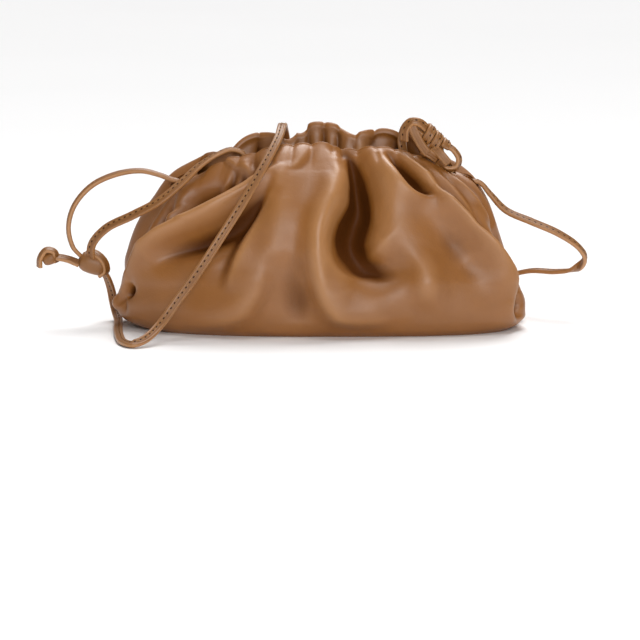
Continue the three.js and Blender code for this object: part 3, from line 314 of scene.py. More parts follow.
# One half of the strap's section from edge to edge, as shares of half its width and half its thickness:
# a rounded fold at the left, a shallow crease beside it, and the trough that the stitches lie in.
STRAP_FACE = (
    (-1.0, 0.0), (-0.95, 0.5), (-0.84, 0.86), (-0.68, 1.0), (-0.52, 0.96), (-0.42, 0.74), (-0.3, 0.9),
    (-0.08, 0.96), (0.12, 0.84), (0.26, 0.82), (0.44, 0.96), (0.7, 1.0), (0.86, 0.86), (0.96, 0.5),
)
STRAP_BACK = 0.98  # how full the other half is beside this one
END_BULGE = 0.2  # how far a strap's cut end stands out, in thicknesses
STITCH_LIFT = 0.86  # how high the stitches sit in their trough, in half thicknesses
HOLE_SHARES, HOLE_RISE = (1.2, 0.8), 0.0004  # a hole's length and width, in hole lengths, and its height
THREAD_SHARES, THREAD_RISE = (0.62, 0.5), 0.0005  # a thread's, in pitches and in hole lengths

# How deep the grain is, in metres, and how rough and how shiny the plain things are.
POUCH_GRAIN, STRAP_GRAIN = 0.00014, 0.00006
STITCH_FINISH, FLOOR_FINISH = (0.7, 0.15), (0.85, 0.5)

# The stage: where each softbox stands and its size, what both of them face, how wide the sun is and how it
# is turned, between which heights the sky dims and its strength below them, and how far floor and view go.
KEY_LIGHT = ((0.3, -1.7, 0.75), (1.0, 0.6))
FILL_LIGHT = ((0.1, -0.2, 1.1), (0.6, 0.4))
LIGHTS_AIM = (0, 0, 0.05)
SUN_ANGLE, SUN_TURN = math.radians(40), (math.radians(-30), math.radians(8), 0)
SKY_EDGE, HORIZON = (0.03, 0.12), 1.05
FLOOR_REACH, VIEW_REACH = 30.0, 100


def length(name, description, default):
    """A property that is a length."""
    return FloatProperty(name=name, description=description, default=default, unit="LENGTH")


def colour(name, description, default):
    """A property that is a colour."""
    return FloatVectorProperty(name=name, description=description, default=default, subtype="COLOR")


class PouchSizes(bpy.types.PropertyGroup):
    """The pouch's real sizes and how finely it is meshed"""

    width: length("Width", "Across the fullest part", 0.23)
    depth: length("Depth", "Front to back at the fullest part", 0.094)
    front_rim: length("Front rim", "Height of the front lip", 0.101)
    back_rim: length("Back rim", "Height of the back lip", 0.109)
    end_rim: length("End rim", "Height of the mouth's two ends", 0.087)
    leather: length("Leather", "Thickness of the wall", 0.0022)
    casing: length("Casing", "Thickness of the folded lip", 0.0032)
    casing_height: length("Casing height", "Depth of the lip's hem", 0.008)
    fold_depth: length("Fold depth", "Depth of the deepest fold", 0.03)
    crease: length("Crease radius", "How tightly the leather creases", 0.0009)
    front_fade: length("Front fade", "How far down the front's puffs reach", 0.009)
    back_fade: length("Back fade", "How far down the back's puffs reach", 0.024)
    seam: length("Side seam", "How far behind the middle the side seams lie", 0.002)
    base_seam: length("Base seam", "How far back the base reaches", 0.033)
    slot: length("Slot", "How far a side seam opens for the strap", 0.0032)
    slot_height: length("Slot height", "Height of the slots in the side seams", 0.08)
    columns: IntProperty(name="Columns", description="Columns of points across the front", default=380)
    rings: IntProperty(name="Rings", description="Rings of points up the wall", default=188)


class StrapSizes(bpy.types.PropertyGroup):
    """The strap's real sizes"""

    width: length("Width", "Across the flat strap", 0.005)
    thickness: length("Thickness", "Through the flat strap", 0.0024)
    step: length("Step", "Length of strap between rings of points", 0.0014)
    pitch: length("Stitch pitch", "Length from stitch to stitch", 0.0035)
    hole: length("Stitch hole", "Length of a stitch hole", 0.0011)
    stitch_place: FloatProperty(name="Stitch line", default=0.19,
                                description="Across the strap, as a share of half its width")


class LeatherColours(bpy.types.PropertyGroup):
    """The colours of the leather, thread and stage"""

    tan: colour("Tan", "The pouch's leather", (0.29, 0.106, 0.016))
    # Dark tan is mixed in as painted shade in creases, inside the bag and on the knots, for the darker strap
    # middles, and for the slow random mottle.
    dark: colour("Dark tan", "Painted shade in folds, and the mottle", (0.09, 0.026, 0.004))
    # The colour of the highlight painted onto the pouch's ridges and the back puffs' inner sides, and of the
    # straps' paler edges.
    sheen_and_pale_edge: colour("Sheen tan", "Painted highlight on ridges, and the straps' pale edges", (0.46, 0.22, 0.08))
    strap: colour("Strap", "The strap's leather", (0.28, 0.112, 0.022))
    # The stitch holes are drawn as raised, very dark ovals, which paint the shade down in the holes.
    hole: colour("Stitch hole", "The dark holes of the stitches", (0.035, 0.012, 0.004))
    thread: colour("Thread", "The thread of the stitches", (0.36, 0.19, 0.075))
    floor: colour("Floor", "The pale floor", (0.985, 0.98, 0.98))


class StageSizes(bpy.types.PropertyGroup):
    """The camera and the lights"""

    distance: length("Camera distance", "From the middle of the base", 1.8)
    elevation: FloatProperty(name="Elevation", description="The camera's height above the horizon",
                             default=math.radians(10), subtype="ANGLE")
    aim: length("Aim height", "Height that the camera looks at", 0.0022)
    lens: FloatProperty(name="Lens", description="Focal length", default=181.6, unit="CAMERA")
    sky: FloatProperty(name="Sky", description="Strength of the light from overhead", default=0.22)
    sun: FloatProperty(name="Top light", description="Strength of the broad light above", default=2.6)
    key: FloatProperty(name="Key light", description="Power of the softbox in front", default=13.5,
                       unit="POWER")
    fill: FloatProperty(name="Top fill", description="Power of the softbox overhead", default=2.6, unit="POWER")


def strokes_of(sizes):
    """Each fold as a line of points on the smooth pouch, with its depths and the ways outwards."""
    made = []
    for path, left, right, crisp, lap in FOLDS:
        rows = np.array(path, float)
        points = spline(rows[:, :2], STROKE_STEPS)
        slopes = np.gradient(rows[:, 2])
        slopes[[0, -1]] = 0
        at = np.linspace(0, len(rows) - 1, len(points))
        k = np.minimum(at.astype(int), len(rows) - 2)
        depths = hermite(at - k, rows[k, 2], rows[k + 1, 2], slopes[k], slopes[k + 1])
        angle, level = np.radians(points[:, 0]), points[:, 1]
        made.append((smooth_pouch(sizes, angle, level), outwards(sizes, angle, level),
                     depths * sizes.fold_depth, left * sizes.width, right * sizes.width, crisp, lap))
    return made


def spline(points, steps, centripetal=False):
    """Points along a Catmull-Rom curve through the given ones."""
    before, after = points[0], points[-1]
    if centripetal:
        before, after = 2 * points[0] - points[1], 2 * points[-1] - points[-2]
    padded = np.vstack([before, points, after])
    share = np.arange(steps)[:, None] / steps
    pieces = []
    for k in range(len(points) - 1):
        a, b, c, d = padded[k:k + 4]
        first, middle, last = 1.0, 1.0, 1.0
        if centripetal:
            first, middle, last = (max(np.linalg.norm(q - p), 1e-9) ** 0.5 for p, q in ((a, b), (b, c), (c, d)))
        enter = ((b - a) / first - (c - a) / (first + middle) + (c - b) / middle) * middle
        leave = ((c - b) / middle - (d - b) / (middle + last) + (d - c) / last) * middle
        pieces.append(hermite(share, b, c, enter, leave))
    return np.vstack([*pieces, points[-1:]])


def hermite(t, start, end, enter, leave):
    """A cubic from start to end with the given slopes."""
    return ((2 * t**3 - 3 * t**2 + 1) * start + (t**3 - 2 * t**2 + t) * enter
            + (3 * t**2 - 2 * t**3) * end + (t**3 - t**2) * leave)


def section(column, level):
    """One measure of the sections at a level, eased between the rows without overshoot."""
    rows = np.array(SECTIONS)
    at, values = rows[:, 0], rows[:, SECTION_COLUMNS.index(column)]
    steps = np.diff(at)
    slopes = np.diff(values) / steps
    before, after = slopes[:-1], slopes[1:]
    same_way = before * after > 0
    inner = np.where(same_way, 2 * before * after / np.where(same_way, before + after, 1), 0)
    tangents = np.concatenate([slopes[:1], inner, slopes[-1:]])
    level = np.clip(level, 0, 1)
    k = np.clip(np.searchsorted(at, level, side="right") - 1, 0, len(at) - 2)
    t = (level - at[k]) / steps[k]
    return hermite(t, values[k], values[k + 1], steps[k] * tangents[k], steps[k] * tangents[k + 1])


def rim_height(sizes, angle):
    """How high the rim is at an angle round the bag."""
    middle = np.where(np.cos(angle) > 0, sizes.front_rim, sizes.back_rim)
    return sizes.end_rim + (middle - sizes.end_rim) * np.cos(angle) ** 2


def smooth_pouch(sizes, angle, level):
    """The pouch before it is folded and gathered."""
    s, c = np.sin(angle), np.cos(angle)
    square = np.where(s < 0, section("square_left", level), section("square_right", level))
    reach = (np.abs(s) ** square + np.abs(c) ** square) ** (-1 / square)
    across = np.where(s < 0, section("left", level), section("right", level))
    along = np.where(c > 0, section("front", level), section("back", level))
    return np.stack([across * sizes.width * reach * s / 2, -along * sizes.depth * reach * c / 2,
                     level * rim_height(sizes, angle)], axis=-1)


def outwards(sizes, angle, level):
    """Which way is outwards on the smooth pouch."""
    nudge = 0.01
    low, high = np.maximum(level - nudge, 0), np.minimum(level + nudge, 1)
    round_it = smooth_pouch(sizes, angle + nudge, level) - smooth_pouch(sizes, angle - nudge, level)
    up_it = smooth_pouch(sizes, angle, high) - smooth_pouch(sizes, angle, low)
    out = np.cross(round_it, up_it)
    return out / np.linalg.norm(out, axis=-1, keepdims=True)


def fold_offset(sizes, stroke, places):
    """How far one fold moves each place outwards, in metres."""
    points, outs, depths, left, right, crisp, lap = stroke
    offset = np.zeros(len(places))
    margin = FOLD_MARGIN * max(left, right)
    near = ((places > points.min(0) - margin) & (places < points.max(0) + margin)).all(1)
    if not near.any():
        return offset
    spots = places[near]
    best = np.full(len(spots), np.inf)
    side, depth = np.zeros(len(spots)), np.zeros(len(spots))
    for k in range(len(points) - 1):
        run = points[k + 1] - points[k]
        away = spots - points[k]
        t = np.clip(away @ run / (run @ run), 0, 1)
        away -= t[:, None] * run
        distance = np.linalg.norm(away, axis=1)
        closer = distance < best
        leftwards = np.cross(run, outs[k])
        leftwards /= np.linalg.norm(leftwards)
        best = np.where(closer, distance, best)
        side = np.where(closer, away @ leftwards, side)
        depth = np.where(closer, depths[k] + t * (depths[k + 1] - depths[k]), depth)
    across = side / np.maximum(best, 1e-7)
    reach = right + (left - right) * (across + 1) / 2
    rounded = np.hypot(best, sizes.crease) - sizes.crease
    if lap:
        depth = depth * np.tanh(side / (CRISP_LAP + SOFT_LAP * (1 - crisp) ** 2))
    offset[near] = depth * np.exp(-((rounded / reach) ** (2 - POINTED * crisp)))
    return offset


def puffs(table, x, below):
    """How far the fullest of a lip's puffs bulges and rises at each place, in metres."""
    bulge, rise = np.zeros(len(x)), np.full(len(x), -PUFF_DIP)
    for middle, half, up, out, lean in table:
        share = (x - (middle * MM - below * lean)) / (half * MM)
        dome = np.sqrt(np.maximum(1 - share**2, 0))
        fuller = dome * out * MM > bulge
        bulge = np.where(fuller, dome * out * MM, bulge)
        rise = np.where(fuller, (up * MM + PUFF_DIP) * dome - PUFF_DIP, rise)
    return bulge, rise


def smoothstep(value, low, high):
    """0 at low and below, 1 at high and above, and eased between."""
    t = np.clip((value - low) / (high - low), 0, 1)
    return t * t * (3 - 2 * t)


def folding(sizes, strokes, angle, level):
    """How far folds and gathers move each place outwards, and how far up."""
    shape = angle.shape
    angle, level = angle.ravel(), level.ravel()
    places = smooth_pouch(sizes, angle, level)
    foot = smoothstep(level, 0, FOOT_LEVEL)
    total = np.zeros(len(places))
    for stroke in strokes:
        total += fold_offset(sizes, stroke, places) * foot
    behind = np.cos(angle) < 0
    below = (1 - level) * rim_height(sizes, angle)
    middle = np.abs(np.cos(angle)) ** 0.5
    front_bulge, front_rise = puffs(FRONT_PUFFS, places[:, 0], below)
    back_bulge, back_rise = puffs(BACK_PUFFS, places[:, 0], below)
    front_fade = np.exp(-((below / sizes.front_fade) ** 2)) * middle
    back_fade = np.exp(-((below / sizes.back_fade) ** 2)) * middle
    roll = RIM_SHARE + (1 - RIM_SHARE) * smoothstep(below, 0, RIM_ROLL)
    full = roll + BELLY * smoothstep(below, BELLY_TOP, BELLY_FULL)
    total += np.where(behind, (BACK_MEAN - back_bulge * full) * back_fade,
                      FRONT_SHARE * (front_bulge - FRONT_MEAN) * front_fade * roll)
    up = np.where(behind, back_rise * back_fade, front_rise * front_fade)
    return total.reshape(shape), up.reshape(shape)


def seam_angle(sizes, level):
    """The angle of the side seams, which run down a plane a little behind the middle."""
    half = section("back", level) * sizes.depth / 2
    return math.pi / 2 + np.arcsin(sizes.seam / half)


def base_rows(sizes, foot, lift, shrink, count):
    """Rows across the base, behind the wall's foot as far as the base's back seam."""
    x, y = foot[:, 0] * shrink, foot[:, 1] * shrink
    half_x = np.where(x < 0, section("left", 0), section("right", 0)) * sizes.width / 2
    half_y = section("back", 0) * sizes.depth / 2
    square = np.where(x < 0, section("square_left", 0), section("square_right", 0))
    outline = half_y * shrink * (1 - np.minimum(np.abs(x) / (half_x * shrink), 1) ** square) ** (1 / square)
    back = np.minimum(outline, sizes.base_seam)
    return [np.stack([x, y + (back - y) * t, np.full_like(x, lift)], axis=-1)
            for t in np.linspace(1, 0, count, endpoint=False)]


def rim_rows(outside, out, thickness, slanted, turns):
    """Rows over the rim, from the wall's top row outside to its top row inside."""
    rows = []
    for turn in turns:
        inward = thickness / 2 * (1 - np.cos(turn)) * (1 + (slanted - 1) * turn / math.pi)
        row = outside - out * inward[:, None]
        row[:, 2] += thickness / 2 * np.sin(turn)
        rows.append(row)
    return rows


def panel(sizes, strokes, front, columns, rings):
    """One panel's points as a grid with a row for each ring: from the base's back seam to the wall's foot,
    up the wall, over the rim, down inside and back across the floor. Returns the points, how deep in a
    crease each one lies, and how many of the rows are outside."""
    outer_levels = 1 - (1 - np.arange(rings + 1) / rings) ** RIM_CROWDING
    inner_levels = 1 - (1 - np.arange(INNER_RINGS)[::-1] / INNER_RINGS) ** RIM_CROWDING
    inner_levels = inner_levels[inner_levels > 0]
    even = np.linspace(-1, 1, columns + 1)
    spread = even + (FRONT_CROWDING if front else BACK_CROWDING) * np.sin(math.pi * even)
    level = np.repeat(outer_levels[:, None], columns + 1, axis=1)
    seam = seam_angle(sizes, level)
    if front:
        angle = spread[None, :] * (seam - SEAM_EDGE)
    else:
        angle = math.pi + spread[None, :] * (math.pi - seam - SEAM_EDGE)

    # The outside: the smooth pouch, moved by folds, puffs and slow dents.
    offset, up = folding(sizes, strokes, angle, level)
    chance = np.random.default_rng(FRONT_SEED if front else BACK_SEED)
    for radius, height in UNEVENNESS:
        dents = softened(chance.standard_normal(offset.shape), radius)
        offset += height * dents / dents.std() * np.cos(angle) ** 2 * smoothstep(level, 0, FOOT_LEVEL)
    offset = blur(offset, 2)
    out = outwards(sizes, angle, level)
    smooth = smooth_pouch(sizes, angle, level)
    outside = smooth + out * offset[..., None]
    outside[..., 2] += up

    # The wall's thickness along the way outwards, more where a fold's side slants.
    run = np.linalg.norm(np.gradient(smooth, axis=1), axis=-1)
    rise = np.linalg.norm(np.gradient(smooth, axis=0), axis=-1)
    slope = np.hypot(np.gradient(offset, axis=1) / run, np.gradient(offset, axis=0) / rise)
    slanted = np.minimum(np.hypot(1, slope), STEEPEST)
    below = (1 - level) * sizes.end_rim
    casing = 1 - smoothstep(below, sizes.casing_height, 2 * sizes.casing_height)
    lip = sizes.casing + (END_LIP - sizes.casing) * np.sin(angle) ** 2
    thickness = sizes.leather + (lip - sizes.leather) * casing
    inward = thickness * slanted
    if not front:
        bulge = puffs(BACK_PUFFS, smooth[..., 0].ravel(), below.ravel())[0].reshape(below.shape)
        padded = smoothstep(below, PAD_TOP, PAD_FULL) * np.exp(-((below / PAD_FADE) ** 2))
        inward += PADDING * bulge * padded

    # The rim, and the inside, which takes its rows from between those of the outside.
    turns = np.linspace(0, math.pi, RIM_STEPS)[1:]
    rim = rim_rows(outside[-1], out[-1], thickness[-1], slanted[-1], turns)
    rows_in = np.interp(inner_levels, outer_levels, np.arange(rings + 1))
    low = np.floor(rows_in).astype(int)
    high = np.minimum(low + 1, rings)
    part = (rows_in - low)[:, None]
    inner_grid = outside - out * inward[..., None]
    inside = inner_grid[low] * (1 - part[..., None]) + inner_grid[high] * part[..., None]
    inside[..., 2] = np.maximum(inside[..., 2], sizes.leather)

    # The base, under and over.
    foot = outside[0]
    shrink = 1 - 2 * sizes.leather / sizes.depth
    count = FRONT_BASE_ROWS if front else BACK_BASE_ROWS
    under = base_rows(sizes, foot, 0.0, 1.0, count)
    floor = base_rows(sizes, foot, sizes.leather, shrink, count)
    inner_foot = np.column_stack([foot[:, :2] * shrink, np.full(len(foot), sizes.leather)])
    grid = np.stack([*under, *outside, *rim, *inside, inner_foot, *floor[::-1]])

    # How deep in a crease each place lies, which paints shade into creases and a highlight onto ridges. Inside,
    # a fold's crest is the hollow.
    hollow = blur(offset, CREASE_BLUR) - offset
    wide = softened(offset, HOLLOW_RADIUS) - offset
    hollow += HOLLOW_SHADE * np.maximum(wide - HOLLOW_START, 0) + RIDGE_SHEEN * np.minimum(wide, 0)
    # Inside, shade is painted darker the further a place lies below the rim, and a highlight paler on the inner
    # side of the back puffs.
    deep = (1 - inner_levels)[:, None] * sizes.end_rim
    within = deep * INSIDE_SHADE - (hollow[low] * (1 - part) + hollow[high] * part)
    over = np.cos(turns)[:, None] * hollow[-1:]
    # The floor of the bag is painted dark as shade.
    crease = np.concatenate([np.zeros((len(under), columns + 1)), hollow, over, within,
                             np.full((1 + len(floor), columns + 1), FLOOR_SHADE)])

    # The slot that the strap comes through, half of it in each panel.
    from_end = np.minimum(np.arange(columns + 1), np.arange(columns, -1, -1)) * sizes.width / columns
    tall = ((grid[..., 2] - sizes.slot_height) / SLOT_HALF) ** 4
    slot = sizes.slot * np.exp(-tall - (from_end / SLOT_REACH) ** 2)
    grid[..., 1] += -slot if front else slot
    return grid, crease, len(under) + len(outside) + len(rim) // 2


def blur(field, times):
    """The field smoothed along both of its directions."""
    for _ in range(times):
        for axis in (0, 1):
            padded = np.concatenate([np.take(field, [0], axis), field, np.take(field, [-1], axis)], axis)
            count = field.shape[axis]
            pick = [np.take(padded, range(k, k + count), axis) for k in range(3)]
            field = pick[0] / 4 + pick[1] / 2 + pick[2] / 4
    return field


def softened(field, radius):
    """The field blurred by a bell curve of the given radius in samples, along both directions."""
    weights = np.exp(-0.5 * (np.arange(-3 * radius, 3 * radius + 1) / radius) ** 2)
    weights /= weights.sum()
    padded = np.pad(field, 3 * radius, mode="edge")
    across = np.apply_along_axis(np.convolve, 1, padded, weights, mode="valid")
    return np.apply_along_axis(np.convolve, 0, across, weights, mode="valid")


def cap(outer, inner):
    """Triangles between two lines of vertex numbers that run the same way and share their last end."""
    faces, i, j = [], 0, 0
    while i < len(outer) - 1 or j < len(inner) - 1:
        outer_next = (i + 1) / max(len(outer) - 1, 1) <= (j + 1) / max(len(inner) - 1, 1)
        if j == len(inner) - 1 or (outer_next and i < len(outer) - 1):
            faces.append((outer[i], outer[i + 1], inner[j]))
            i += 1
        else:
            faces.append((outer[i], inner[j + 1], inner[j]))
            j += 1
    return faces


def closed_panel(name, grid, crease, outer_rows):
    """A closed mesh from a panel's grid, with its first and last rows and its two side edges joined."""
    rows, columns = grid.shape[:2]
    numbers = np.arange(rows * columns).reshape(rows, columns)
    a, b = numbers[:, :-1], numbers[:, 1:]
    after_a, after_b = np.roll(a, -1, axis=0), np.roll(b, -1, axis=0)
    quads = np.stack([a, b, after_b, after_a], axis=-1).reshape(-1, 4)
    sides = []
    for column, flip in ((0, False), (columns - 1, True)):
        outer = numbers[:outer_rows, column].tolist()
        inner = numbers[outer_rows - 1:, column][::-1].tolist()
        faces = cap(outer, inner)
        sides += [face[::-1] if flip else face for face in faces]
    mesh = bpy.data.meshes.new(name)
    mesh.from_pydata(grid.reshape(-1, 3).tolist(), [], quads.tolist() + sides)
    # The crease depth, from which the leather's colour paints shade in folds and a highlight on ridges.
    attribute = mesh.attributes.new("crease", "FLOAT", "POINT")
    attribute.data.foreach_set("value", crease.ravel().astype(np.float32))
    return finished(name, mesh)


def finished(name, mesh, merge=1e-6):
    """An object at the origin with its doubles merged, its faces pointing out and shaded smooth."""
    work = bmesh.new()
    work.from_mesh(mesh)
    bmesh.ops.remove_doubles(work, verts=work.verts, dist=merge)
    bmesh.ops.dissolve_degenerate(work, edges=work.edges, dist=merge / 10)
    bmesh.ops.recalc_face_normals(work, faces=work.faces)
    work.to_mesh(mesh)
    work.free()
    mesh.shade_smooth()
    return shown(name, mesh)


def shown(name, data):
    """A new object in the scene."""
    thing = bpy.data.objects.new(name, data)
    bpy.context.scene.collection.objects.link(thing)
    return thing


def strap_line(route, step):
    """Places along a strap's route at even steps, its tangents, ways across and facings, and its length."""
    points = np.array([at for at, _ in route], float)
    facing = np.array([face for _, face in route], float)
    facing /= np.linalg.norm(facing, axis=1, keepdims=True)
    line = spline(points, ROUTE_STEPS, centripetal=True)
    spots = np.arange(len(line)) / ROUTE_STEPS
    faces = np.stack([np.interp(spots, np.arange(len(route)), facing[:, k]) for k in range(3)], axis=-1)
    lengths = np.concatenate([[0], np.cumsum(np.linalg.norm(np.diff(line, axis=0), axis=1))])
    count = max(int(round(lengths[-1] / step)), 4)
    at = np.linspace(0, lengths[-1], count + 1)
    places = np.stack([np.interp(at, lengths, line[:, k]) for k in range(3)], axis=-1)
    face = np.stack([np.interp(at, lengths, faces[:, k]) for k in range(3)], axis=-1)
    tangent = np.gradient(places, axis=0)
    tangent /= np.linalg.norm(tangent, axis=1, keepdims=True)
    across = np.cross(face, tangent)
    across /= np.linalg.norm(across, axis=1, keepdims=True)
    return places, tangent, across, np.cross(tangent, across), lengths[-1]


def strap_mesh(sizes, route, step):
    """A length of strap along a route, closed at both ends: its vertices, faces and shares from middle to
    edge, its middle line and its length."""
    places, tangent, across, normal, total = strap_line(route, step)
    back = [(-u, -v * STRAP_BACK) for u, v in STRAP_FACE]
    ring = np.array([*STRAP_FACE, *back])
    shape = ring * np.array([sizes.width / 2, sizes.thickness / 2])
    sideways, forwards = shape[None, :, :1] * across[:, None, :], shape[None, :, 1:] * normal[:, None, :]
    points = places[:, None, :] + sideways + forwards
    count, rows = len(ring), len(places)
    numbers = np.arange(rows * count).reshape(rows, count)
    around = np.roll(numbers, -1, axis=1)
    quads = np.stack([numbers[:-1], around[:-1], around[1:], numbers[1:]], axis=-1).reshape(-1, 4).tolist()
    verts = points.reshape(-1, 3).tolist()
    ends = []
    for row, push in ((0, -1), (rows - 1, 1)):
        middle = places[row] + tangent[row] * push * sizes.thickness * END_BULGE
        verts.append(middle.tolist())
        loop = numbers[row].tolist()
        ends += [(loop[k], loop[(k + 1) % count], len(verts) - 1) for k in range(count)]
    edge = np.tile(np.abs(ring[:, 0]), rows).tolist() + [0.0, 0.0]
    return verts, quads + ends, edge, places, total


def knot_middle(sizes, at, axis, girth, spread):
    """The rounded barrel in the middle of a knot: its vertices, faces and shares from middle to edge, which
    paint shade into its colour.
    """
    radius, long = girth * sizes.width, spread * sizes.width
    profile = [(0.0, -long / 2)]
    for u in np.linspace(-1, 1, KNOT_RINGS):
        full = BARREL_END + (1 - BARREL_END) * (1 - abs(u) ** BARREL_SQUARE)
        profile.append((radius * full, u * BARREL_REACH * long))
    profile.append((0.0, long / 2))
    stand = Vector((0, 0, 1)).rotation_difference(Vector(axis))
    verts = []
    for out, along in profile:
        for k in range(KNOT_SIDES):
            angle = 2 * math.pi * k / KNOT_SIDES
            spot = stand @ Vector((out * math.cos(angle), out * math.sin(angle), along))
            verts.append((spot.x + at[0], spot.y + at[1], spot.z + at[2]))
    faces = []
    for row in range(len(profile) - 1):
        for k in range(KNOT_SIDES):
            here, there = row * KNOT_SIDES + k, row * KNOT_SIDES + (k + 1) % KNOT_SIDES
            faces.append((here, there, there + KNOT_SIDES, here + KNOT_SIDES))
    return verts, faces, [KNOT_EDGE] * len(verts)


def coil(sizes, at, axis, girth):
    """The route of the strap wound round a knot's middle, from its left end to its right."""
    stand = Vector((0, 0, 1)).rotation_difference(Vector(axis))
    radius = (girth + COIL_AIR) * sizes.width + sizes.thickness / 2
    long = COIL_TURNS * sizes.width * COIL_PITCH
    count = int(COIL_TURNS * COIL_STEPS)
    route = []
    for k in range(count + 1):
        angle = 2 * math.pi * COIL_TURNS * k / count + COIL_START
        out = stand @ Vector((math.cos(angle), math.sin(angle), 0))
        spot = stand @ Vector((0, 0, long * (k / count - 0.5)))
        route.append((tuple(Vector(at) + out * radius + spot), tuple(out)))
    return tuple(route)


def joined(name, parts):
    """One object from several closed meshes, each (vertices, faces, edge shares)."""
    verts, faces, edges = [], [], []
    for part_verts, part_faces, part_edges in parts:
        start = len(verts)
        verts += part_verts
        faces += [tuple(start + k for k in face) for face in part_faces]
        edges += part_edges
    mesh = bpy.data.meshes.new(name)
    mesh.from_pydata(verts, [], faces)
    # Shares from middle to edge: a strap is darker towards its middle and paler towards its edges, and the
    # knots' middles get painted shade.
    attribute = mesh.attributes.new("edge", "FLOAT", "POINT")
    attribute.data.foreach_set("value", np.array(edges, np.float32))
    return finished(name, mesh)


def node_group(name, inputs, outputs):
    """An empty shader node group with the named sockets, and its input and output nodes."""
    group = bpy.data.node_groups.new(name, "ShaderNodeTree")
    for label, kind, value in inputs:
        socket = group.interface.new_socket(label, in_out="INPUT", socket_type=kind)
        socket.default_value = value
    for label, kind in outputs:
        group.interface.new_socket(label, in_out="OUTPUT", socket_type=kind)
    return group, group.nodes.new("NodeGroupInput"), group.nodes.new("NodeGroupOutput")


def linked(tree, kind, values=None, links=None, **settings):
    """A new node with its settings, socket values and incoming links."""
    node = tree.nodes.new(kind)
    for key, value in settings.items():
        setattr(node, key, value)
    for key, value in (values or {}).items():
        node.inputs[key].default_value = value
    for key, source in (links or {}).items():
        tree.links.new(source, node.inputs[key])
    return node


def ramp(tree, source, low, high, start=0.0, end=1.0):
    """A value that goes from start to end as the source goes from low to high."""
    values = {"From Min": low, "From Max": high, "To Min": start, "To Max": end}
    return linked(tree, "ShaderNodeMapRange", values, {"Value": source}).outputs[0]


def mixed(tree, share, first, second):
    """A colour that goes from the first one, or a socket's, to the second."""
    node = linked(tree, "ShaderNodeMix", {7: (*second, 1)}, {0: share}, data_type="RGBA")
    if isinstance(first, bpy.types.NodeSocket):
        tree.links.new(first, node.inputs[6])
    else:
        node.inputs[6].default_value = (*first, 1)
    return node.outputs[2]


def leather_grain():
    """Fine pores, soft wrinkles and a slow mottling, shared by every leather."""
    group, given, made = node_group(
        "Leather grain",
        [("Pore scale", "NodeSocketFloat", 1500.0), ("Wrinkle scale", "NodeSocketFloat", 220.0),
         ("Mottle scale", "NodeSocketFloat", 42.0)],
        [("Height", "NodeSocketFloat"), ("Mottle", "NodeSocketFloat")])
    place = linked(group, "ShaderNodeTexCoord").outputs["Object"]
    pores = linked(group, "ShaderNodeTexVoronoi", {"Randomness": 0.9},
                   {"Vector": place, "Scale": given.outputs["Pore scale"]}, feature="SMOOTH_F1")
    wrinkles = linked(group, "ShaderNodeTexNoise", {"Detail": 4.0, "Roughness": 0.6, "Distortion": 0.6},
                      {"Vector": place, "Scale": given.outputs["Wrinkle scale"]})
    mottle = linked(group, "ShaderNodeTexNoise", {"Detail": 3.0, "Roughness": 0.55},
                    {"Vector": place, "Scale": given.outputs["Mottle scale"]})
    fine = linked(group, "ShaderNodeMath", {1: 0.35}, {0: pores.outputs["Distance"]}, operation="MULTIPLY")
    height = linked(group, "ShaderNodeMath", None, {0: fine.outputs[0], 1: wrinkles.outputs["Fac"]},
                    operation="ADD")
    group.links.new(height.outputs[0], made.inputs["Height"])
    group.links.new(mottle.outputs["Fac"], made.inputs["Mottle"])
    return group


def leather_material(name, colours, grain, base, bump, depth_name):
    """Smooth mottled tan leather: the pouch painted darker and duller as shade in its folds and inside, and
    paler as a highlight on its ridges; a strap darker towards its middle, with painted shade on the knots, and
    paler towards its edges.
    """
    material = bpy.data.materials.new(name)
    material.use_nodes = True
    tree = material.node_tree
    tree.nodes.clear()
    feel = linked(tree, "ShaderNodeGroup")
    feel.node_tree = grain
    depth = linked(tree, "ShaderNodeAttribute", attribute_name=depth_name).outputs["Fac"]
    if depth_name == "crease":
        # Painted shade: darker and duller deep in a crease, low inside the bag and on its floor.
        dark = ramp(tree, depth, 0.0001, 0.0016)
        # Painted highlight: paler over a ridge and on the inner side of the back puffs.
        pale = ramp(tree, depth, -0.0001, -0.0011, end=0.6)
    else:
        # Darker towards a strap's middle, and painted shade on the knots' middles.
        dark = ramp(tree, depth, 0.55, 0.3, end=0.22)
        # Paler towards a strap's edges.
        pale = ramp(tree, depth, 0.8, 0.97, end=0.75)
    tint = mixed(tree, ramp(tree, feel.outputs["Mottle"], 0.35, 0.68, end=0.16), base, colours.dark)
    # The mottled tint, then the painted shade mixed in, then the painted highlight or the pale strap edge.
    sheen_and_pale_edge = mixed(tree, pale, mixed(tree, dark, tint, colours.dark), colours.sheen_and_pale_edge)
    surface = linked(tree, "ShaderNodeBump", {"Strength": 1.0, "Distance": bump},
                     {"Height": feel.outputs["Height"]})
    shader = linked(tree, "ShaderNodeBsdfPrincipled", {"Coat Roughness": 0.36}, {
        "Base Color": sheen_and_pale_edge,
        "Roughness": ramp(tree, feel.outputs["Mottle"], 0.3, 0.7, 0.4, 0.52),
        "Normal": surface.outputs[0],
        "Specular IOR Level": ramp(tree, dark, 0, 1, 0.6, 0.1),
        "Coat Weight": ramp(tree, dark, 0, 1, 0.2, 0.0),
    })
    linked(tree, "ShaderNodeOutputMaterial", None, {"Surface": shader.outputs[0]})
    return material


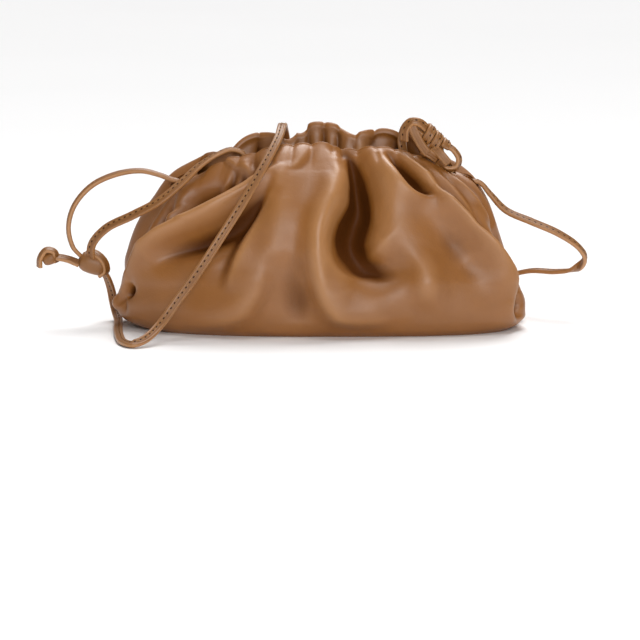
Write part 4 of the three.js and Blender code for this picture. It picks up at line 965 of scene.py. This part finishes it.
def plain_material(name, base, roughness, specular):
    """One colour with a slow variation, for the stitches and the floor."""
    material = bpy.data.materials.new(name)
    material.use_nodes = True
    tree = material.node_tree
    shader = tree.nodes["Principled BSDF"]
    shader.inputs["Roughness"].default_value = roughness
    shader.inputs["Specular IOR Level"].default_value = specular
    place = linked(tree, "ShaderNodeTexCoord").outputs["Object"]
    noise = linked(tree, "ShaderNodeTexNoise", {"Scale": 3.0}, {"Vector": place})
    shade = mixed(tree, noise.outputs["Fac"], base, [0.97 * c for c in base])
    tree.links.new(shade, shader.inputs["Base Color"])
    return material


def grain_group():
    """The grain, made on first use."""
    return bpy.data.node_groups.get("Leather grain") or leather_grain()


def material_of(name):
    """The named material, made on first use."""
    found = bpy.data.materials.get(name)
    if found:
        return found
    colours = bpy.context.scene.pouch_colours
    if name == "Pouch leather":
        return leather_material(name, colours, grain_group(), colours.tan, POUCH_GRAIN, "crease")
    if name == "Strap leather":
        return leather_material(name, colours, grain_group(), colours.strap, STRAP_GRAIN, "edge")
    return plain_material(name, colours.hole if name == "Stitch holes" else colours.thread, *STITCH_FINISH)


def placed(piece, node, material):
    """Puts a finished piece on the body in place of its node."""
    piece.data.materials.clear()
    piece.data.materials.append(material)
    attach(piece, "root")
    if node:
        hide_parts(node)
    return piece


def stitch_tree():
    """Sets a small oval on every point, turned the way that the point's attributes say."""
    tree = bpy.data.node_groups.new("Stitches", "GeometryNodeTree")
    tree.interface.new_socket("Geometry", in_out="INPUT", socket_type="NodeSocketGeometry")
    for label, kind, value in (("Length", "NodeSocketFloat", 0.001), ("Width", "NodeSocketFloat", 0.0006),
                               ("Rise", "NodeSocketFloat", 0.0003), ("Material", "NodeSocketMaterial", None)):
        socket = tree.interface.new_socket(label, in_out="INPUT", socket_type=kind)
        if value:
            socket.default_value = value
    tree.interface.new_socket("Geometry", in_out="OUTPUT", socket_type="NodeSocketGeometry")
    given, made = tree.nodes.new("NodeGroupInput"), tree.nodes.new("NodeGroupOutput")
    along = linked(tree, "GeometryNodeInputNamedAttribute", {"Name": "along"}, data_type="FLOAT_VECTOR")
    facing = linked(tree, "GeometryNodeInputNamedAttribute", {"Name": "facing"}, data_type="FLOAT_VECTOR")
    first = linked(tree, "FunctionNodeAlignRotationToVector", None, {"Vector": along.outputs[0]}, axis="X")
    turned = linked(tree, "FunctionNodeAlignRotationToVector", None,
                    {"Rotation": first.outputs[0], "Vector": facing.outputs[0]}, axis="Z", pivot_axis="X")
    size = linked(tree, "ShaderNodeCombineXYZ", None,
                  {0: given.outputs["Length"], 1: given.outputs["Width"], 2: given.outputs["Rise"]})
    oval = linked(tree, "GeometryNodeMeshUVSphere", {"Segments": 8, "Rings": 5, "Radius": 0.5})
    spots = linked(tree, "GeometryNodeInstanceOnPoints", None,
                   {"Points": given.outputs["Geometry"], "Instance": oval.outputs["Mesh"],
                    "Rotation": turned.outputs[0], "Scale": size.outputs[0]})
    real = linked(tree, "GeometryNodeRealizeInstances", None, {0: spots.outputs[0]})
    coated = linked(tree, "GeometryNodeSetMaterial", None,
                    {0: real.outputs[0], "Material": given.outputs["Material"]})
    tree.links.new(coated.outputs[0], made.inputs["Geometry"])
    return tree


def stitches(name, sizes, routes, material, size, shift):
    """A row of stitch holes or threads along each route, made with Geometry Nodes and turned into a mesh.
    size is each one's length, width and rise, and shift how far along it sits, as a share of the pitch."""
    places, tangents, facings = [], [], []
    for route in routes:
        at, tangent, across, normal, _ = strap_line(route, sizes.pitch)
        side = sizes.stitch_place * sizes.width / 2
        lift = sizes.thickness / 2 * STITCH_LIFT
        places.append((at + across * side + normal * lift + tangent * shift * sizes.pitch)[1:-1])
        tangents.append(tangent[1:-1])
        facings.append(normal[1:-1])
    mesh = bpy.data.meshes.new(name)
    mesh.from_pydata(np.vstack(places).tolist(), [], [])
    for label, values in (("along", tangents), ("facing", facings)):
        attribute = mesh.attributes.new(label, "FLOAT_VECTOR", "POINT")
        attribute.data.foreach_set("vector", np.vstack(values).astype(np.float32).ravel())
    spots = shown(name + "_spots", mesh)
    modifier = spots.modifiers.new("Stitches", "NODES")
    modifier.node_group = bpy.data.node_groups.get("Stitches") or stitch_tree()
    values = {"Length": size[0], "Width": size[1], "Rise": size[2], "Material": material}
    for item in modifier.node_group.interface.items_tree:
        if item.in_out == "INPUT" and item.name in values:
            modifier[item.identifier] = values[item.name]
    graph = bpy.context.evaluated_depsgraph_get()
    final = bpy.data.meshes.new_from_object(spots.evaluated_get(graph))
    spots.modifiers.clear()
    bpy.data.objects.remove(spots)
    if len(final.vertices) == 0:
        raise RuntimeError("no stitches were made")
    final.shade_smooth()
    return placed(shown(name, final), None, material)


def right_knot_bands(sizes):
    """The routes of the bands of strap that show on the right knot, the coil first."""
    return (coil(sizes, *RIGHT_MIDDLE[:3]), RIGHT_KNOT_LOOP, RIGHT_KNOT_ARCH, RIGHT_KNOT_END, RIGHT_KNOT_DROP,
            RIGHT_KNOT_FOLD)


class POUCH_OT_panels(bpy.types.Operator):
    """Make the folded front and back panels of the pouch"""

    bl_idname = "pouch.panels"
    bl_label = "Pouch panels"

    def execute(self, context):
        sizes = context.scene.pouch_sizes
        strokes = strokes_of(sizes)
        for name, node, front, share in (("pouch_front", "front_panel", True, 1),
                                         ("pouch_back", "back_panel", False, BACK_FINENESS)):
            made = panel(sizes, strokes, front, int(sizes.columns * share), int(sizes.rings * share))
            placed(closed_panel(name, *made), node, material_of("Pouch leather"))
        return {"FINISHED"}


class POUCH_OT_straps(bpy.types.Operator):
    """Make the shoulder strap, the left loop and the three knots"""

    bl_idname = "pouch.straps"
    bl_label = "Straps and knots"

    def execute(self, context):
        sizes = context.scene.strap_sizes
        leather = material_of("Strap leather")
        made, lines, lengths = {}, {}, {}
        for name, route in (("shoulder_strap_leather", SHOULDER_ROUTE), ("left_loop_leather", LEFT_LOOP_ROUTE)):
            *part, lines[name], lengths[name] = strap_mesh(sizes, route, sizes.step)
            made[name] = joined(name, [part])
            placed(made[name], name.removesuffix("_leather"), leather)
        knots = (("left_knot_leather", (LEFT_MIDDLE,), (LEFT_KNOT_BAND,)),
                 ("tail_knot_leather", (STOPPER_MIDDLE,), (TAIL_ROUTE, STOPPER_BAND)),
                 ("right_knot_leather", (RIGHT_MIDDLE, RIGHT_HEART), right_knot_bands(sizes)))
        for name, middles, bands in knots:
            parts = [knot_middle(sizes, *middle) for middle in middles]
            parts += [strap_mesh(sizes, band, sizes.step / 2)[:3] for band in bands]
            made[name] = joined(name, parts)
            placed(made[name], name.removesuffix("_leather"), leather)
        return {"FINISHED"}


class POUCH_OT_stitching(bpy.types.Operator):
    """Sew the row of stitches along the straps"""

    bl_idname = "pouch.stitching"
    bl_label = "Stitching"

    def execute(self, context):
        sizes = context.scene.strap_sizes
        routes = (SHOULDER_ROUTE, LEFT_LOOP_ROUTE, *right_knot_bands(sizes)[:3])
        hole = (sizes.hole * HOLE_SHARES[0], sizes.hole * HOLE_SHARES[1], HOLE_RISE)
        thread = (sizes.pitch * THREAD_SHARES[0], sizes.hole * THREAD_SHARES[1], THREAD_RISE)
        # The holes are very dark ovals that paint the shade in them.
        stitches("strap_holes", sizes, routes, material_of("Stitch holes"), hole, 0)
        stitches("strap_threads", sizes, routes, material_of("Thread"), thread, 0.5)
        return {"FINISHED"}


class POUCH_OT_stage(bpy.types.Operator):
    """Make the pale floor, the soft lights and the camera"""

    bl_idname = "pouch.stage"
    bl_label = "Stage"

    def execute(self, context):
        scene, stage = context.scene, context.scene.pouch_stage
        scene.view_settings.view_transform = "Standard"
        data = bpy.data.cameras.new("Camera")
        data.lens = stage.lens
        data.clip_end = VIEW_REACH
        camera = shown("Camera", data)
        back = Vector((0, -math.cos(stage.elevation), math.sin(stage.elevation)))
        camera.location = Vector((0, 0, stage.aim)) + back * stage.distance
        camera.rotation_euler = back.to_track_quat("Z", "Y").to_euler()
        scene.camera = camera

        mesh = bpy.data.meshes.new("floor")
        corners = [(x * FLOOR_REACH, y * FLOOR_REACH, 0) for x, y in ((-1, -1), (1, -1), (1, 1), (-1, 1))]
        mesh.from_pydata(corners, [], [(0, 1, 2, 3)])
        floor = shown("floor", mesh)
        floor.data.materials.append(plain_material("Floor", scene.pouch_colours.floor, *FLOOR_FINISH))

        # A sky that is bright at the horizon, behind the floor's far edge, and dim above.
        world = bpy.data.worlds.new("Sky")
        world.use_nodes = True
        tree = world.node_tree
        tree.nodes["Background"].inputs["Color"].default_value = (1, 1, 1, 1)
        place = linked(tree, "ShaderNodeTexCoord").outputs["Generated"]
        upward = linked(tree, "ShaderNodeSeparateXYZ", None, {0: place}).outputs["Z"]
        glow = ramp(tree, upward, *SKY_EDGE, HORIZON, stage.sky)
        tree.links.new(glow, tree.nodes["Background"].inputs["Strength"])
        scene.world = world

        sun = bpy.data.lights.new("Top", "SUN")
        sun.energy, sun.angle = stage.sun, SUN_ANGLE
        shown("Top", sun).rotation_euler = SUN_TURN
        for name, power, (place, size) in (("Key", stage.key, KEY_LIGHT), ("Fill", stage.fill, FILL_LIGHT)):
            light = bpy.data.lights.new(name, "AREA")
            light.shape = "RECTANGLE"
            light.size, light.size_y = size
            light.energy = power
            lamp = shown(name, light)
            lamp.location = place
            lamp.rotation_euler = (Vector(place) - Vector(LIGHTS_AIM)).to_track_quat("Z", "Y").to_euler()
        return {"FINISHED"}


class POUCH_PT_sidebar(bpy.types.Panel):
    """The pouch's settings and steps"""

    bl_idname = "POUCH_PT_sidebar"
    bl_label = "Leather pouch"
    bl_space_type = "VIEW_3D"
    bl_region_type = "UI"
    bl_category = "Pouch"

    def draw(self, context):
        layout = self.layout
        for group in GROUPS:
            settings = getattr(context.scene, group)
            box = layout.box()
            for name in settings.bl_rna.properties.keys():
                if name not in ("rna_type", "name"):
                    box.prop(settings, name)
        for operator in OPERATORS:
            layout.operator(operator.bl_idname)


GROUPS = {"pouch_sizes": PouchSizes, "strap_sizes": StrapSizes, "pouch_colours": LeatherColours,
          "pouch_stage": StageSizes}
OPERATORS = (POUCH_OT_stage, POUCH_OT_straps, POUCH_OT_panels, POUCH_OT_stitching)


def register():
    for group in GROUPS.values():
        bpy.utils.register_class(group)
    for name, group in GROUPS.items():
        setattr(bpy.types.Scene, name, PointerProperty(type=group))
    for operator in (*OPERATORS, POUCH_PT_sidebar):
        bpy.utils.register_class(operator)


def unregister():
    for operator in (POUCH_PT_sidebar, *reversed(OPERATORS)):
        bpy.utils.unregister_class(operator)
    for name in GROUPS:
        delattr(bpy.types.Scene, name)
    for group in reversed(GROUPS.values()):
        bpy.utils.unregister_class(group)


def main():
    register()
    bpy.ops.pouch.stage()
    bpy.ops.pouch.straps()
    bpy.ops.pouch.panels()
    bpy.ops.pouch.stitching()


if __name__ == "__main__":
    main()
